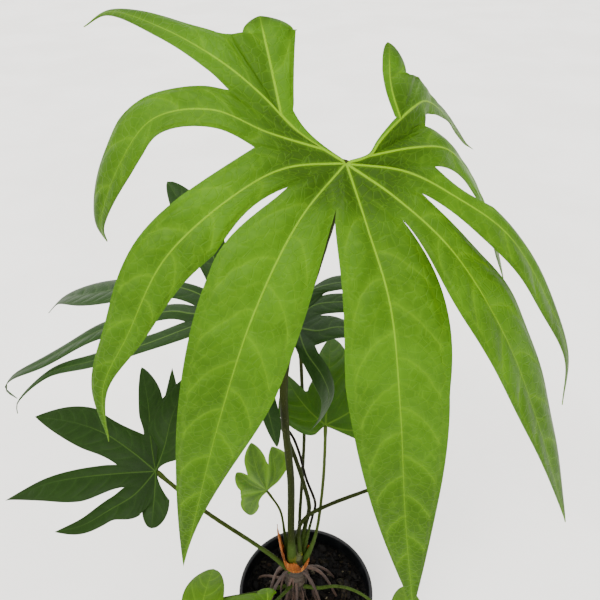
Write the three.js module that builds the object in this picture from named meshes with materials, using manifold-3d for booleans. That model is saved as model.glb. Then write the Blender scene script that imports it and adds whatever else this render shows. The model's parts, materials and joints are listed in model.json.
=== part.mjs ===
// A young Anthurium pedatoradiatum in a round nursery pot. Millimetres, +Z up.
// The origin is the middle of the pot's base. The plant faces -Y.

import * as THREE from 'three';
import Module from 'manifold-3d';

const wasm = await Module();
wasm.setup();

// Driving dimensions
const gap = 0.3; // air kept between neighbouring pieces

const pot = {
  height: 105, rimRadius: 60, baseRadius: 43, wall: 1.6, floor: 2, lipHeight: 9, lip: 2.4,
  lipEase: 6, // height over which the wall thickens towards the lip
  facets: 32,
};
const drain = { count: 6, radius: 4, ring: 27 };

const mix = { surface: 92, dome: 2.5, chunks: 26, smallest: 3, largest: 6, seed: 7 };

const crown = { x: -9, y: 0, foot: 80, top: 165, radius: 9.5 };
const roots = {
  count: 15, radius: 1.5, tipRadius: 0.9, seed: 21,
  lowest: 108, highest: 152, // where on the crown they leave it
  shortest: 18, longest: 38, // how far out they enter the mix
  tip: 84,
};
const sheath = {
  bottom: 148, height: 13, thickness: 0.9, ragged: 4, frayed: 2.5,
  point: 52, pointAngle: 3.3, pointWidth: 0.6,
};

const blade = { thickness: 0.8, keel: 1.1, puff: 0.05 };
const stalkFoot = 45; // length of the widened foot of each petiole

const colours = {
  pot: 0x14161a, mix: 0x2a211a, crown: 0x6b5a4c, sheath: 0xb5682c,
  bright: 0x6f9e2f, dark: 0x2f5a34, low: 0x264d2b, young: 0x3f6d1c, pale: 0x86a94e, fresh: 0x7db03a,
  petiole: 0x5c6632, darkPetiole: 0x2b2a22, greenPetiole: 0x6f8a45,
};

// Leaf shapes
// Each lobe's midrib passes through points given as [distance from the leaf's centre, bearing,
// height over the leaf's plane]. Bearing 0 runs along the middle lobe and grows clockwise, seen
// from above the blade. The lobes are listed by falling bearing, and left and right in their
// names are as seen from the plant's front. "web" is the length of midrib that shares its blade
// with the neighbours, and "sinus" is the notch between this lobe and the next.
// "before" and "after" give the free edge on the side of the previous and of the next lobe, as
// [greatest half width, where it lies from notch to tip, how sharply the tip tapers]. A fourth
// number of 1 makes the edge widen at once and not gently, and a fifth narrows it at the notch.
// "heel" is the half width at the web's end on the open side of an outermost lobe, and "flare"
// below 2 lets that side widen sooner. "roll" turns a lobe about its midrib, "twist" turns it
// further from the notch to the tip, and "from" with "row" names the midrib that it branches from.

const mainLobes = [
  { name: 'left_heel', from: 'left_back', row: 3, web: 34, roll: -15, heel: 14,
    rib: [[50, 150, -5], [71, 158, -12]],
    before: [13, 0.05, 0.8, 2, -1], after: [8.5, 0.35, 0.7], sinus: [72, 147, -6.5] },
  { name: 'left_back', web: 58, roll: -35,
    rib: [[24, 132, -2], [45, 138, -2], [66, 138, -5], [96, 135, -10], [122, 131, -18], [132, 126, -24]],
    before: [9, 0.2, 1.6], after: [6, 0.15, 1.2], sinus: [59, 131, -3] },
  { name: 'left_side', from: 'left_back', row: 1, web: 36, roll: -25,
    rib: [[36, 121, 0], [62, 121, -2], [87, 112, -6], [104, 98, -10], [121, 85, -16], [123, 81, -20]],
    before: [15, 0.5, 0.65, 2, 2.5], after: [9.5, 0.5, 1.1, 2, 2], sinus: [40, 110, 2] },
  { name: 'left_outer', web: 42, roll: -10,
    rib: [[26, 96, 3], [47, 86, 7], [89, 73, 9], [128, 62, 6], [161, 57, 1], [188, 50, -6]],
    before: [15.5, 0.32, 1.15], after: [14, 0.22, 2, 2, 3], sinus: [27, 79, 5] },
  { name: 'left_inner', web: 30,
    rib: [[30, 50, 6], [74, 42, 12], [132, 36, 11], [230.5, 31.2, 3]],
    before: [25.6, 0.2, 0.95, 1.4, -1.4], after: [23, 0.38, 2.4, 0.9, -1], sinus: [19, 22, 7] },
  { name: 'middle', web: 30,
    rib: [[28, -10, 7], [63, -9, 12], [115, -4, 11], [180, -1, 5], [246, 0, 0]],
    before: [24.4, 0.34, 1.1, 0.7, 1.4], after: [23.3, 0.37, 1.05, 0.8, -3], sinus: [33, -37, 6] },
  { name: 'right_inner', web: 38, roll: 50,
    rib: [[26, -47, 4], [60, -42, 8], [106, -34, 9], [153, -28, 6], [218, -23, -2]],
    before: [17.5, 0.27, 1.5, 1.4], after: [19, 0.35, 0.9], sinus: [35, -60, 3] },
  { name: 'right_outer', web: 42, roll: 48,
    rib: [[26, -73, 1], [49, -64, 1], [79, -57, -2], [114, -47, -8], [146, -40, -14], [170, -33, -20]],
    before: [11.5, 0.3, 1.6], after: [7.5, 0.2, 1.1, 2, 3], sinus: [39, -78, -4] },
  { name: 'right_side', from: 'right_back', row: 1, web: 36, roll: 50, twist: -30,
    rib: [[31, -92, -6], [45, -87, -14], [56, -77, -26], [72, -64, -42], [100, -49, -62], [119, -43, -74]],
    before: [11.5, 0.3, 1.2, 2, 3], after: [9, 0.3, 0.9], sinus: [39, -103, -18] },
  { name: 'right_back', web: 54, roll: 30, twist: -60,
    rib: [[11, -98, -1], [17, -112, -3], [25, -117, -6], [37, -118, -14], [45, -115, -28], [54, -101, -52],
      [69, -83, -84], [76, -80, -94]],
    before: [3, 0.15, 1.5, 2, 2], after: [10, 0.2, 1.6], sinus: [50, -127, -34] },
  { name: 'right_heel', from: 'right_back', row: 3, web: 21, roll: -20, heel: 4,
    rib: [[37, -139, -12], [54, -150, -24]],
    before: [11, 0.4, 0.5, 1], after: [3.8, 0.3, 0.5] },
];

const darkLeftLobes = [
  { name: 'inner_back', web: 16, heel: 5, rib: [[18, 140, 2], [36, 136, 0]],
    before: [7, 0.3, 0.7], after: [8, 0.3, 0.7], sinus: [20, 105, 6] },
  { name: 'back', web: 28, rib: [[29, 79, 22], [58, 74, 42], [78, 71, 60]],
    before: [13, 0.5, 0.6], after: [11, 0.4, 0.7], sinus: [24, 57, 6] },
  { name: 'upper', web: 28, rib: [[43, 45, 6], [79, 38, 4], [124, 35, -6], [168, 35, -20], [182, 33, -30]],
    before: [14, 0.6, 1], after: [14, 0.5, 1], sinus: [27, 29, 3] },
  { name: 'middle', web: 28,
    rib: [[25, 10, 4], [40, 16, 5], [88, 13, -2], [131, 8, -14], [160, 8, -24], [167, 7.5, -31],
      [157, 4.5, -34]],
    before: [9, 0.35, 1], after: [10, 0.3, 1], sinus: [30, 3, 2] },
  { name: 'lower', web: 28,
    rib: [[28, -12, 2], [54, -9, 0], [91, -1, -8], [128, 4, -18], [152, 1, -30], [154, 0, -36]],
    before: [8, 0.3, 1], after: [6, 0.3, 1], sinus: [24, -32, 2] },
  { name: 'front', web: 26, rib: [[28, -60, 2], [50, -66, -8], [68, -72, -22]],
    before: [8, 0.3, 1.1], after: [8, 0.3, 1.1], sinus: [18, -90, 2] },
  { name: 'inner_front', web: 16, heel: 5, rib: [[18, -118, 1], [34, -122, -5]],
    before: [8, 0.3, 0.7], after: [7, 0.3, 0.7] },
];

const darkRightLobes = [
  { name: 'inner_front', web: 12, heel: 4, rib: [[13, 153, -1], [25, 156, -5]],
    before: [5, 0.3, 0.7], after: [5, 0.3, 0.7], sinus: [10, 118, -1] },
  { name: 'curled', web: 16, rib: [[21, 83, -2], [33, 69, -12], [38, 63, -26], [37, 66, -44], [36, 74, -54]],
    before: [7.5, 0.35, 1.2], after: [6.7, 0.25, 1.3], sinus: [18, 61, -1] },
  { name: 'low', web: 16, rib: [[13, 27, 2], [26, 5, 2], [54, 1, -8], [81, 3, -26]],
    before: [9, 0.3, 1.1], after: [9, 0.3, 1.1], sinus: [18, -30, 3] },
  { name: 'middle', web: 24, rib: [[19, -57, 4], [36, -34, 5], [69, -22, -3], [102, -18, -20]],
    before: [9, 0.3, 1.1], after: [8, 0.3, 1.1], sinus: [34, -54, 5] },
  { name: 'upper', web: 26, rib: [[26, -72, 7], [48, -53, 7], [92, -35, -2], [127, -28, -16]],
    before: [8, 0.3, 1.1], after: [9, 0.3, 1.1], sinus: [16, -100, 2] },
  { name: 'inner_back', web: 12, heel: 5, rib: [[14, -128, 1], [28, -126, -3]],
    before: [6, 0.3, 0.7], after: [6, 0.3, 0.7] },
];

const lowLobes = [
  { name: 'lifted', web: 13, heel: 12, rib: [[18, 92, 5], [40, 88, 11], [74, 88, 11]],
    before: [15, 0.3, 0.8], after: [18, 0.25, 0.8], sinus: [12, 80, 3] },
  { name: 'rear', web: 24, rib: [[22, 69, 1], [52, 73, 0], [80, 70, -1]],
    before: [8, 0.3, 1], after: [6, 0.3, 1], sinus: [40, 66, 1] },
  { name: 'upright', web: 30, rib: [[23, 52, 1], [51, 54, 1], [87, 51, -3]],
    before: [12, 0.4, 0.8], after: [8.5, 0.3, 0.8], sinus: [30, 43, 2] },
  { name: 'left_upper', web: 29, rib: [[22, 14, 3], [51, 11, 6], [80, 6, 5], [125, 0, -3]],
    before: [14.5, 0.4, 0.9, 2, 3], after: [16.5, 0.35, 1], sinus: [31, -13, 4] },
  { name: 'left', web: 28, rib: [[31, -25, 3], [62, -26, 5], [87, -27, 3], [130, -30, -6]],
    before: [7, 0.1, 0.9], after: [17.5, 0.3, 1.3], sinus: [25, -49, 3] },
  { name: 'left_lower', web: 26, rib: [[21, -73, 2], [41, -63, 3], [63, -58, 2], [88, -50, -3]],
    before: [8, 0.2, 1.1], after: [7.5, 0.3, 0.9], sinus: [32, -97, 1] },
  { name: 'heel', web: 20, heel: 12, rib: [[13, -117, 0], [39, -112, -4]],
    before: [9, 0.3, 0.5], after: [12, 0.2, 0.5] },
];

const youngLobes = [
  { name: 'right_heel', web: 22, heel: 6, rib: [[14, 100, 0], [37, 91, -4]],
    before: [7, 0.2, 0.5], after: [9, 0.2, 0.5], sinus: [26, 80, -1] },
  { name: 'right', web: 23, rib: [[18, 58, 0], [46, 52, -6]],
    before: [12, 0.3, 0.8], after: [10, 0.3, 0.8], sinus: [30, 28, 0] },
  { name: 'middle', web: 28, rib: [[20, 0, 2], [42, 0, 3], [68, 0, -3]],
    before: [16, 0.3, 0.55], after: [11, 0.2, 0.8], sinus: [28, -31, 1] },
  { name: 'left', web: 22, heel: 19, flare: 0.25, rib: [[14, -54, 1], [33, -47, 0], [49, -41, -3]],
    before: [7, 0.2, 0.9], after: [19, 0.06, 1.75] },
];

const rearLobes = [
  { name: 'left_heel', web: 16, heel: 5, rib: [[12, 112, 0], [26, 112, -5]],
    before: [7, 0.2, 0.5], after: [9, 0.2, 0.5], sinus: [18, 86, -1] },
  { name: 'left', web: 22, rib: [[18, 58, 0], [46, 52, -6]],
    before: [12, 0.3, 0.8], after: [10, 0.3, 0.8], sinus: [30, 28, 0] },
  { name: 'middle', web: 20, rib: [[20, 0, 2], [42, 1, 3], [70, 2.3, -3]],
    before: [6.5, 0.3, 0.8], after: [8.5, 0.45, 0.8], sinus: [20, -25, 0] },
  { name: 'right_heel', web: 12, heel: 4, rib: [[10, -112, -1], [21, -110, -3]],
    before: [6, 0.2, 0.5], after: [6, 0.2, 0.5] },
];

const paleLobes = [
  { name: 'right', web: 20, heel: 12, rib: [[12, 53, 0], [36, 26, -2]],
    before: [13, 0.25, 0.8], after: [5, 0.2, 0.8], sinus: [21, 23, 0] },
  { name: 'top', web: 20, rib: [[14, -7, 1], [42, 1, -2]],
    before: [9, 0.2, 0.8], after: [9, 0.3, 0.8], sinus: [19, -34, 0] },
  { name: 'left', web: 16, rib: [[13, -45, 0], [30, -39, -2]],
    before: [4, 0.3, 0.6], after: [9, 0.2, 0.6], sinus: [21, -77, 0] },
  { name: 'heel', web: 14, heel: 6, rib: [[12, -106, 0], [23, -120, -2]],
    before: [10, 0.2, 0.5], after: [6, 0.3, 0.5] },
];

const juvenileLobes = [
  { name: 'right_heel', web: 12, heel: 5, rib: [[8, 118, 0], [18, 108, -2]],
    before: [7, 0.2, 0.5], after: [9, 0.2, 0.5], sinus: [17, 64, 0] },
  { name: 'middle', web: 16, rib: [[16, 0, 2], [36, 0, 1], [54, 0, -5]],
    before: [16, 0.3, 0.5], after: [18, 0.3, 0.65], sinus: [15, -70, 0] },
  { name: 'left_heel', web: 12, heel: 5, rib: [[8, -118, 0], [18, -108, -2]],
    before: [9, 0.2, 0.5], after: [7, 0.2, 0.5] },
];

// Where the leaves are
// "at" is the leaf's centre, where its petiole meets the blade. "turn" is the compass bearing of
// the middle lobe from +Y towards +X, its climb over the horizontal, and the leaf's roll.
// "petiole" lists the points that the petiole passes through from the crown up, and "stalk" its
// radius at the sheath, above the sheath and at the leaf.

const leaves = [
  { name: 'main', at: [14.6, -40, 528], turn: [151, -69, -30], lobes: mainLobes, colour: 'bright',
    rows: [5, 10], columns: 2, stalkColour: 'petiole', stalk: [5.2, 2.9, 2.5],
    petiole: [[-12, -3, 150], [-12.5, -4, 202], [-12, -4, 259], [-15, -9, 376], [3.5, -22, 465],
      [13, -32, 512]] },
  { name: 'dark_left', at: [-44, 0, 416], turn: [-97, -12, 0], lobes: darkLeftLobes, colour: 'dark',
    rows: [3, 8], columns: 1, stalkColour: 'darkPetiole', stalk: [3, 1.1, 1],
    petiole: [[-3, 4, 150], [0, 5, 173], [5, 8, 202], [7, 9, 217], [0, 12, 243], [-11, 18, 287],
      [-30, 19, 317], [-39, 22, 356], [-43, 14, 400]] },
  { name: 'dark_right', at: [-7, 4, 402], turn: [82, -6, 0], lobes: darkRightLobes, colour: 'dark',
    rows: [3, 8], columns: 1, stalkColour: 'petiole', stalk: [2.2, 1.4, 1.3],
    petiole: [[-10.5, 7, 150], [-8.5, 7, 172], [-6, 6.5, 190], [-5.3, 12, 204], [-3.7, 24, 227],
      [-2, 38, 263], [-2.5, 42, 292], [-3.8, 39, 320], [-4.6, 30, 350], [-6, 15, 382]] },
  { name: 'low', at: [-111, -3, 273], turn: [-63, -1, 31], lobes: lowLobes, colour: 'low',
    rows: [3, 8], columns: 1, stalkColour: 'greenPetiole', stalk: [2.4, 1.8, 1.6],
    petiole: [[-14, -5, 142], [-26, -4, 160], [-43, -4, 182], [-80, -4, 227], [-104, -4, 264]] },
  { name: 'young', at: [13, 10, 308], turn: [5, 30, -2], lobes: youngLobes, colour: 'young',
    rows: [3, 6], columns: 2, stalkColour: 'greenPetiole', stalk: [3, 1.3, 1.2],
    petiole: [[-2, -2, 150], [6, 0, 179], [9, 2, 197], [12.5, 6, 251], [13, 8, 292]] },
  { name: 'pale', at: [-32, 14, 227], turn: [-23, 23, 16], lobes: paleLobes, colour: 'pale',
    rows: [2, 5], columns: 2, stalkColour: 'greenPetiole', stalk: [3.4, 1.2, 0.9],
    petiole: [[-15, 3, 150], [-18, 4, 183], [-21.5, 8, 210], [-29, 13, 222]] },
  { name: 'right_hidden', at: [72, 8, 251], turn: [50, 20, -10], lobes: youngLobes, size: 0.55,
    colour: 'young', rows: [2, 5], columns: 1, stalkColour: 'petiole', stalk: [2.6, 1.7, 1.4],
    petiole: [[-5, 0, 150], [-5.5, -2, 203], [-2, -2, 212], [3.5, -2, 220], [19, -1, 231], [46, 3, 242]] },
  { name: 'rear_hidden', at: [-35, 8, 367], turn: [152, -50, -20], lobes: rearLobes, size: 0.8,
    colour: 'dark', rows: [2, 5], columns: 1, stalkColour: 'petiole', stalk: [3, 1.9, 1.4],
    petiole: [[-6, 5, 150], [-1, 7, 190], [2, 6, 217], [-3, 8, 247], [-11, 9, 282], [-24, 11, 324],
      [-36, 12, 357]] },
  { name: 'front_left', at: [-88, -58, 143], turn: [9, 7, 0], lobes: juvenileLobes, size: 1,
    colour: 'fresh', rows: [3, 5], columns: 2, stalkColour: 'greenPetiole', stalk: [2, 1.3, 1.2],
    petiole: [[-14, -3, 116], [-45, -12, 119], [-79, -24, 127], [-92, -43, 135]] },
  { name: 'front_middle', at: [-34, -36, 138], turn: [-106, 1, 0], lobes: juvenileLobes, size: 1.08,
    colour: 'fresh', rows: [3, 5], columns: 2, stalkColour: 'greenPetiole', stalk: [1.8, 1.3, 1.2],
    petiole: [[-11, -6, 125], [-17, -17, 132], [-29, -32, 137]] },
  { name: 'front_right', at: [82, -66, 147], turn: [-4, 12, 0], lobes: juvenileLobes, size: 0.78,
    colour: 'fresh', rows: [3, 5], columns: 2, stalkColour: 'greenPetiole', stalk: [2, 1.3, 1.2],
    petiole: [[-4, -5, 118], [9.5, -10, 124], [25, -20, 145], [37, -27, 153], [50, -38, 158], [69, -59, 153],
      [80, -68, 147]] },
];

// Small tools

function vec(list) {
  return new THREE.Vector3(...list);
}

function radians(degrees) {
  return THREE.MathUtils.degToRad(degrees);
}

function seeded(seed) {
  let state = seed;
  return () => {
    state = (state * 16807) % 2147483647;
    return state / 2147483647;
  };
}

function solidFrom(points, triangles) {
  const vertProperties = new Float32Array(points.flatMap((p) => [p.x, p.y, p.z]));
  const triVerts = new Uint32Array(triangles.flat());
  return new wasm.Manifold(new wasm.Mesh({ numProp: 3, vertProperties, triVerts }));
}

function geometryFrom(solid) {
  const mesh = solid.getMesh();
  const geometry = new THREE.BufferGeometry();
  geometry.setAttribute('position', new THREE.BufferAttribute(new Float32Array(mesh.vertProperties), 3));
  geometry.setIndex([...mesh.triVerts]);
  geometry.computeVertexNormals();
  return geometry;
}

function largestBody(solid) {
  const bodies = solid.decompose();
  bodies.sort((a, b) => b.volume() - a.volume());
  return bodies[0];
}

// A round closed tube along points, with a radius for each share of its length.
function tube(points, radiusAt, sides, steps) {
  const curve = new THREE.CatmullRomCurve3(points, false, 'centripetal');
  const frames = curve.computeFrenetFrames(steps, false);
  const ring = [];
  const triangles = [];
  for (let i = 0; i <= steps; i += 1) {
    const centre = curve.getPointAt(i / steps);
    const radius = radiusAt(i / steps);
    for (let j = 0; j < sides; j += 1) {
      const angle = (j / sides) * Math.PI * 2;
      const out = frames.normals[i].clone().multiplyScalar(Math.cos(angle));
      out.addScaledVector(frames.binormals[i], Math.sin(angle));
      ring.push(centre.clone().addScaledVector(out, radius));
    }
  }
  for (let i = 0; i < steps; i += 1) {
    for (let j = 0; j < sides; j += 1) {
      const a = i * sides + j;
      const b = i * sides + ((j + 1) % sides);
      triangles.push([a, b, b + sides], [a, b + sides, a + sides]);
    }
  }
  const first = ring.push(curve.getPointAt(0)) - 1;
  const last = ring.push(curve.getPointAt(1)) - 1;
  for (let j = 0; j < sides; j += 1) {
    const next = (j + 1) % sides;
    triangles.push([first, next, j], [last, steps * sides + j, steps * sides + next]);
  }
  return solidFrom(ring, triangles);
}

// A solid of revolution about +Z through a closed outline of [radius, height] points.
function lathe(outline, facets) {
  const profile = outline.map(([r, z]) => new THREE.Vector2(r, z));
  const geometry = new THREE.LatheGeometry(profile, facets);
  const points = [];
  const found = new Map();
  const position = geometry.getAttribute('position');
  const index = [...geometry.getIndex().array].map((i) => {
    const p = new THREE.Vector3().fromBufferAttribute(position, i);
    const key = [p.x, p.y, p.z].map((v) => Math.round(v * 1000)).join();
    if (!found.has(key)) {
      found.set(key, points.push(new THREE.Vector3(p.x, -p.z, p.y)) - 1);
    }
    return found.get(key);
  });
  const triangles = [];
  for (let i = 0; i < index.length; i += 3) {
    const [a, b, c] = index.slice(i, i + 3);
    if (a !== b && b !== c && a !== c) {
      triangles.push([a, b, c]);
    }
  }
  return solidFrom(points, triangles);
}

// Leaf blades

function leafAxes([bearing, climb, roll]) {
  const [b, c, r] = [bearing, climb, roll].map(radians);
  const y = vec([Math.sin(b) * Math.cos(c), Math.cos(b) * Math.cos(c), Math.sin(c)]);
  const up = vec([-Math.sin(b) * Math.sin(c), -Math.cos(b) * Math.sin(c), Math.cos(c)]);
  const side = new THREE.Vector3().crossVectors(y, up);
  const x = side.clone().multiplyScalar(Math.cos(r)).addScaledVector(up, Math.sin(r));
  const z = up.clone().multiplyScalar(Math.cos(r)).addScaledVector(side, -Math.sin(r));
  return { x, y, z };
}

function spot([distance, bearing, height], size) {
  const b = radians(bearing);
  return vec([distance * Math.sin(b), distance * Math.cos(b), height]).multiplyScalar(size);
}

function halfWidth(share, start, [widest, belly, tip, ease = 2, waist = 0]) {
  if (share < belly) {
    const grown = (widest - start) * Math.sin((share / belly) * Math.PI / 2) ** ease;
    return start + grown - waist * Math.sin((share / belly) * Math.PI);
  }
  return widest * (1 - ((share - belly) / (1 - belly)) ** 1.7) ** tip;
}

// The upper face of a leaf as one sheet of triangles in the leaf's own axes. Rows run along
// each midrib, and columns from the midrib to the edge on either side.
class Sheet {
  constructor(leaf) {
    this.size = leaf.size ?? 1;
    [this.webRows, this.freeRows] = leaf.rows;
    this.rows = this.webRows + this.freeRows;
    this.columns = leaf.columns;
    this.points = [];
    this.keels = [];
    this.triangles = [];
    this.centre = this.add(new THREE.Vector3(), 1);
    this.ribs = new Map();
    const stems = leaf.lobes.filter((lobe) => !lobe.from);
    const branches = leaf.lobes.filter((lobe) => lobe.from);
    [...stems, ...branches].forEach((lobe) => this.ribs.set(lobe.name, this.rib(lobe)));
    const notches = leaf.lobes.slice(0, -1).map((lobe, i) => this.notch(lobe, leaf.lobes[i + 1]));
    leaf.lobes.forEach((lobe, i) => {
      this.side(lobe, 1, notches[i - 1], lobe.before);
      this.side(lobe, -1, notches[i], lobe.after);
    });
  }

  add(point, keel = 0) {
    this.keels.push(keel);
    return this.points.push(point) - 1;
  }

  rib(lobe) {
    const parent = lobe.from ? this.ribs.get(lobe.from) : null;
    const branchRow = parent ? lobe.row : 0;
    const ids = parent ? parent.ids.slice(0, branchRow + 1) : [this.centre];
    const start = this.points[ids[branchRow]];
    const path = [start, ...lobe.rib.map((p) => spot(p, this.size))];
    const curve = new THREE.CatmullRomCurve3(path, false, 'centripetal');
    const length = curve.getLength();
    const web = lobe.web * this.size;
    for (let k = branchRow + 1; k <= this.rows; k += 1) {
      const free = (k - this.webRows) / this.freeRows;
      const inWeb = web * (k - branchRow) / (this.webRows - branchRow);
      const along = k <= this.webRows ? inWeb : web + (length - web) * free;
      ids.push(this.add(curve.getPointAt(Math.min(along / length, 1)), 1 - k / this.rows));
    }
    return { ids, ...this.frames(lobe, ids) };
  }

  // The lobe's sideways and upward directions at each row, carried along the midrib.
  frames(lobe, ids) {
    const across = [];
    const upward = [];
    let up = new THREE.Vector3(0, 0, 1);
    ids.forEach((id, k) => {
      const behind = this.points[ids[Math.max(k - 1, 0)]];
      const ahead = this.points[ids[Math.min(k + 1, this.rows)]];
      const along = ahead.clone().sub(behind).normalize();
      up = up.clone().addScaledVector(along, -up.dot(along)).normalize();
      const right = new THREE.Vector3().crossVectors(along, up);
      const twist = radians(lobe.twist ?? 0) * Math.max(0, (k - this.webRows) / this.freeRows);
      const roll = radians(lobe.roll ?? 0) * Math.min(1, k / this.webRows) + twist;
      const sideways = right.clone().multiplyScalar(Math.cos(roll));
      across.push(sideways.addScaledVector(up, Math.sin(roll)));
      const raised = up.clone().multiplyScalar(Math.cos(roll));
      upward.push(raised.addScaledVector(right, -Math.sin(roll)));
    });
    return { across, upward };
  }

  // The line from two midribs' common point to the notch between their lobes.
  notch(lobe, next) {
    const a = this.ribs.get(lobe.name).ids;
    const b = this.ribs.get(next.name).ids;
    let fork = 0;
    while (a[fork + 1] === b[fork + 1]) {
      fork += 1;
    }
    const line = a.slice(0, fork + 1);
    const start = this.points[a[fork]];
    const end = spot(lobe.sinus, this.size);
    for (let k = fork + 1; k <= this.webRows; k += 1) {
      const share = (k - fork) / (this.webRows - fork);
      const middle = this.points[a[k]].clone().add(this.points[b[k]]).multiplyScalar(0.5);
      const span = this.points[a[k]].distanceTo(this.points[b[k]]);
      const point = start.clone().lerp(end, share);
      const follow = 0.8 * (1 - share);
      point.z = middle.z * follow + point.z * (1 - follow);
      point.z += span * blade.puff * (1 - share * share);
      line.push(this.add(point));
    }
    return { fork, line };
  }

  edge(lobe, hand, notch, shape) {
    const { ids, across } = this.ribs.get(lobe.name);
    const web = this.webRows;
    const fork = notch ? notch.fork : 0;
    const scaled = [shape[0] * this.size, ...shape.slice(1)];
    const out = (k, width) => this.points[ids[k]].clone().addScaledVector(across[k], width * hand);
    const slip = new THREE.Vector3();
    let start = (lobe.heel ?? 0) * this.size;
    if (notch) {
      const end = this.points[notch.line[web]];
      start = Math.abs(end.clone().sub(this.points[ids[web]]).dot(across[web]));
      slip.copy(end).sub(out(web, start));
    }
    return ids.map((id, k) => {
      if (k <= fork || k === this.rows) {
        return id;
      }
      if (notch && k <= web) {
        return notch.line[k];
      }
      if (k <= web) {
        return this.add(out(k, 1 + (start - 1) * (k / web) ** (lobe.flare ?? 2)));
      }
      const share = (k - web) / this.freeRows;
      const fade = Math.max(0, 1 - share / 0.45) ** 2;
      return this.add(out(k, halfWidth(share, start, scaled)).addScaledVector(slip, fade));
    });
  }

  side(lobe, hand, notch, shape) {
    const { ids, upward } = this.ribs.get(lobe.name);
    const edge = this.edge(lobe, hand, notch, shape);
    const rows = ids.map((id, k) => {
      if (edge[k] === id) {
        return new Array(this.columns + 1).fill(id);
      }
      const a = this.points[id];
      const b = this.points[edge[k]];
      const free = notch ? Math.min(1, Math.max(0, (k - this.webRows + 2) / 3)) : 1;
      const row = [id];
      for (let c = 1; c < this.columns; c += 1) {
        const share = c / this.columns;
        const rise = blade.puff * a.distanceTo(b) * share * (1 - share) * (1 + 3 * free);
        row.push(this.add(a.clone().lerp(b, share).addScaledVector(upward[k], rise)));
      }
      return [...row, edge[k]];
    });
    for (let k = 0; k < this.rows; k += 1) {
      for (let c = 0; c < this.columns; c += 1) {
        const [a, b, d, e] = [rows[k][c], rows[k][c + 1], rows[k + 1][c + 1], rows[k + 1][c]];
        const pair = hand > 0 ? [[a, b, e], [b, d, e]] : [[a, e, b], [b, e, d]];
        this.triangles.push(...pair.filter((t) => new Set(t).size === 3));
      }
    }
  }
}

// The sheet's own normals, then a lower face below it and a rim round its edge.
function thicken(sheet, axes, centre) {
  const normals = sheet.points.map(() => new THREE.Vector3());
  const half = new Map();
  sheet.triangles.forEach(([a, b, c]) => {
    const [p, q, r] = [a, b, c].map((i) => sheet.points[i]);
    const n = new THREE.Vector3().crossVectors(q.clone().sub(p), r.clone().sub(p));
    [a, b, c].forEach((i) => normals[i].add(n));
    [[a, b], [b, c], [c, a]].forEach(([i, j]) => half.set(`${i},${j}`, [i, j]));
  });
  const place = (p) => {
    const moved = centre.clone().addScaledVector(axes.x, p.x);
    return moved.addScaledVector(axes.y, p.y).addScaledVector(axes.z, p.z);
  };
  const count = sheet.points.length;
  const lower = sheet.points.map((p, i) => {
    const depth = blade.thickness + blade.keel * sheet.keels[i] * sheet.size ** 0.5;
    return p.clone().addScaledVector(normals[i].normalize(), -depth);
  });
  const triangles = [...sheet.triangles];
  sheet.triangles.forEach(([a, b, c]) => triangles.push([a + count, c + count, b + count]));
  half.forEach(([i, j]) => {
    if (!half.has(`${j},${i}`)) {
      triangles.push([i, i + count, j + count], [i, j + count, j]);
    }
  });
  return solidFrom([...sheet.points, ...lower].map(place), triangles);
}

// The petiole's line: through its points and up to the back of the blade.
function petioleLine(leaf, axes) {
  const end = vec(leaf.at).addScaledVector(axes.z, -0.6 * leaf.stalk[2]);
  return [...leaf.petiole.map(vec), end];
}

function petioleRadius(leaf, length) {
  const [foot, above, top] = leaf.stalk;
  return (share) => {
    const widened = Math.max(0, 1 - (share * length) / stalkFoot);
    return above + (top - above) * share + (foot - above) * widened ** 1.5;
  };
}

// The blade, its petiole cut off just under it, and the room that the petiole needs.
function leafSolids(leaf) {
  const axes = leafAxes(leaf.turn);
  const line = petioleLine(leaf, axes);
  const length = new THREE.CatmullRomCurve3(line, false, 'centripetal').getLength();
  const sides = leaf.name === 'main' ? 8 : 6;
  const steps = Math.max(6, Math.round(length / 24));
  const radius = petioleRadius(leaf, length);
  const flat = thicken(new Sheet(leaf), axes, vec(leaf.at));
  const lowered = flat.translate(axes.z.clone().multiplyScalar(-gap).toArray());
  const petiole = tube(line, radius, sides, steps).subtract(flat.add(lowered));
  const clear = tube(line, (share) => radius(share) + gap, sides, steps);
  return { flat, petiole, clear };
}

// Pot, potting mix, crown and roots

function potSolid() {
  const { height, rimRadius, baseRadius, wall, floor, lipHeight, lip, lipEase, facets } = pot;
  const shoulder = height - lipHeight;
  const body = rimRadius - lip;
  const outline = [
    [0, 0], [baseRadius - 1, 0], [baseRadius, 1], [body, shoulder], [rimRadius - 0.5, shoulder],
    [rimRadius, height - 1], [rimRadius - 1, height], [body, height], [body - 1, height - 1],
    [body - wall, shoulder - lipEase], [baseRadius - wall, floor], [0, floor],
  ];
  let solid = lathe(outline, facets);
  for (let i = 0; i < drain.count; i += 1) {
    const angle = ((i + 0.5) / drain.count) * Math.PI * 2;
    const [x, y] = [Math.cos(angle) * drain.ring, Math.sin(angle) * drain.ring];
    const through = [vec([x, y, -1]), vec([x, y, 1]), vec([x, y, floor + 2])];
    const bore = tube(through, () => drain.radius, 8, 2);
    solid = solid.subtract(bore);
  }
  return solid;
}

function insideRadius(z) {
  const { height, rimRadius, baseRadius, wall, floor, lipHeight, lip, lipEase } = pot;
  const top = height - lipHeight - lipEase;
  return baseRadius - wall + (rimRadius - lip - baseRadius) * (z - floor) / (top - floor);
}

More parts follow.
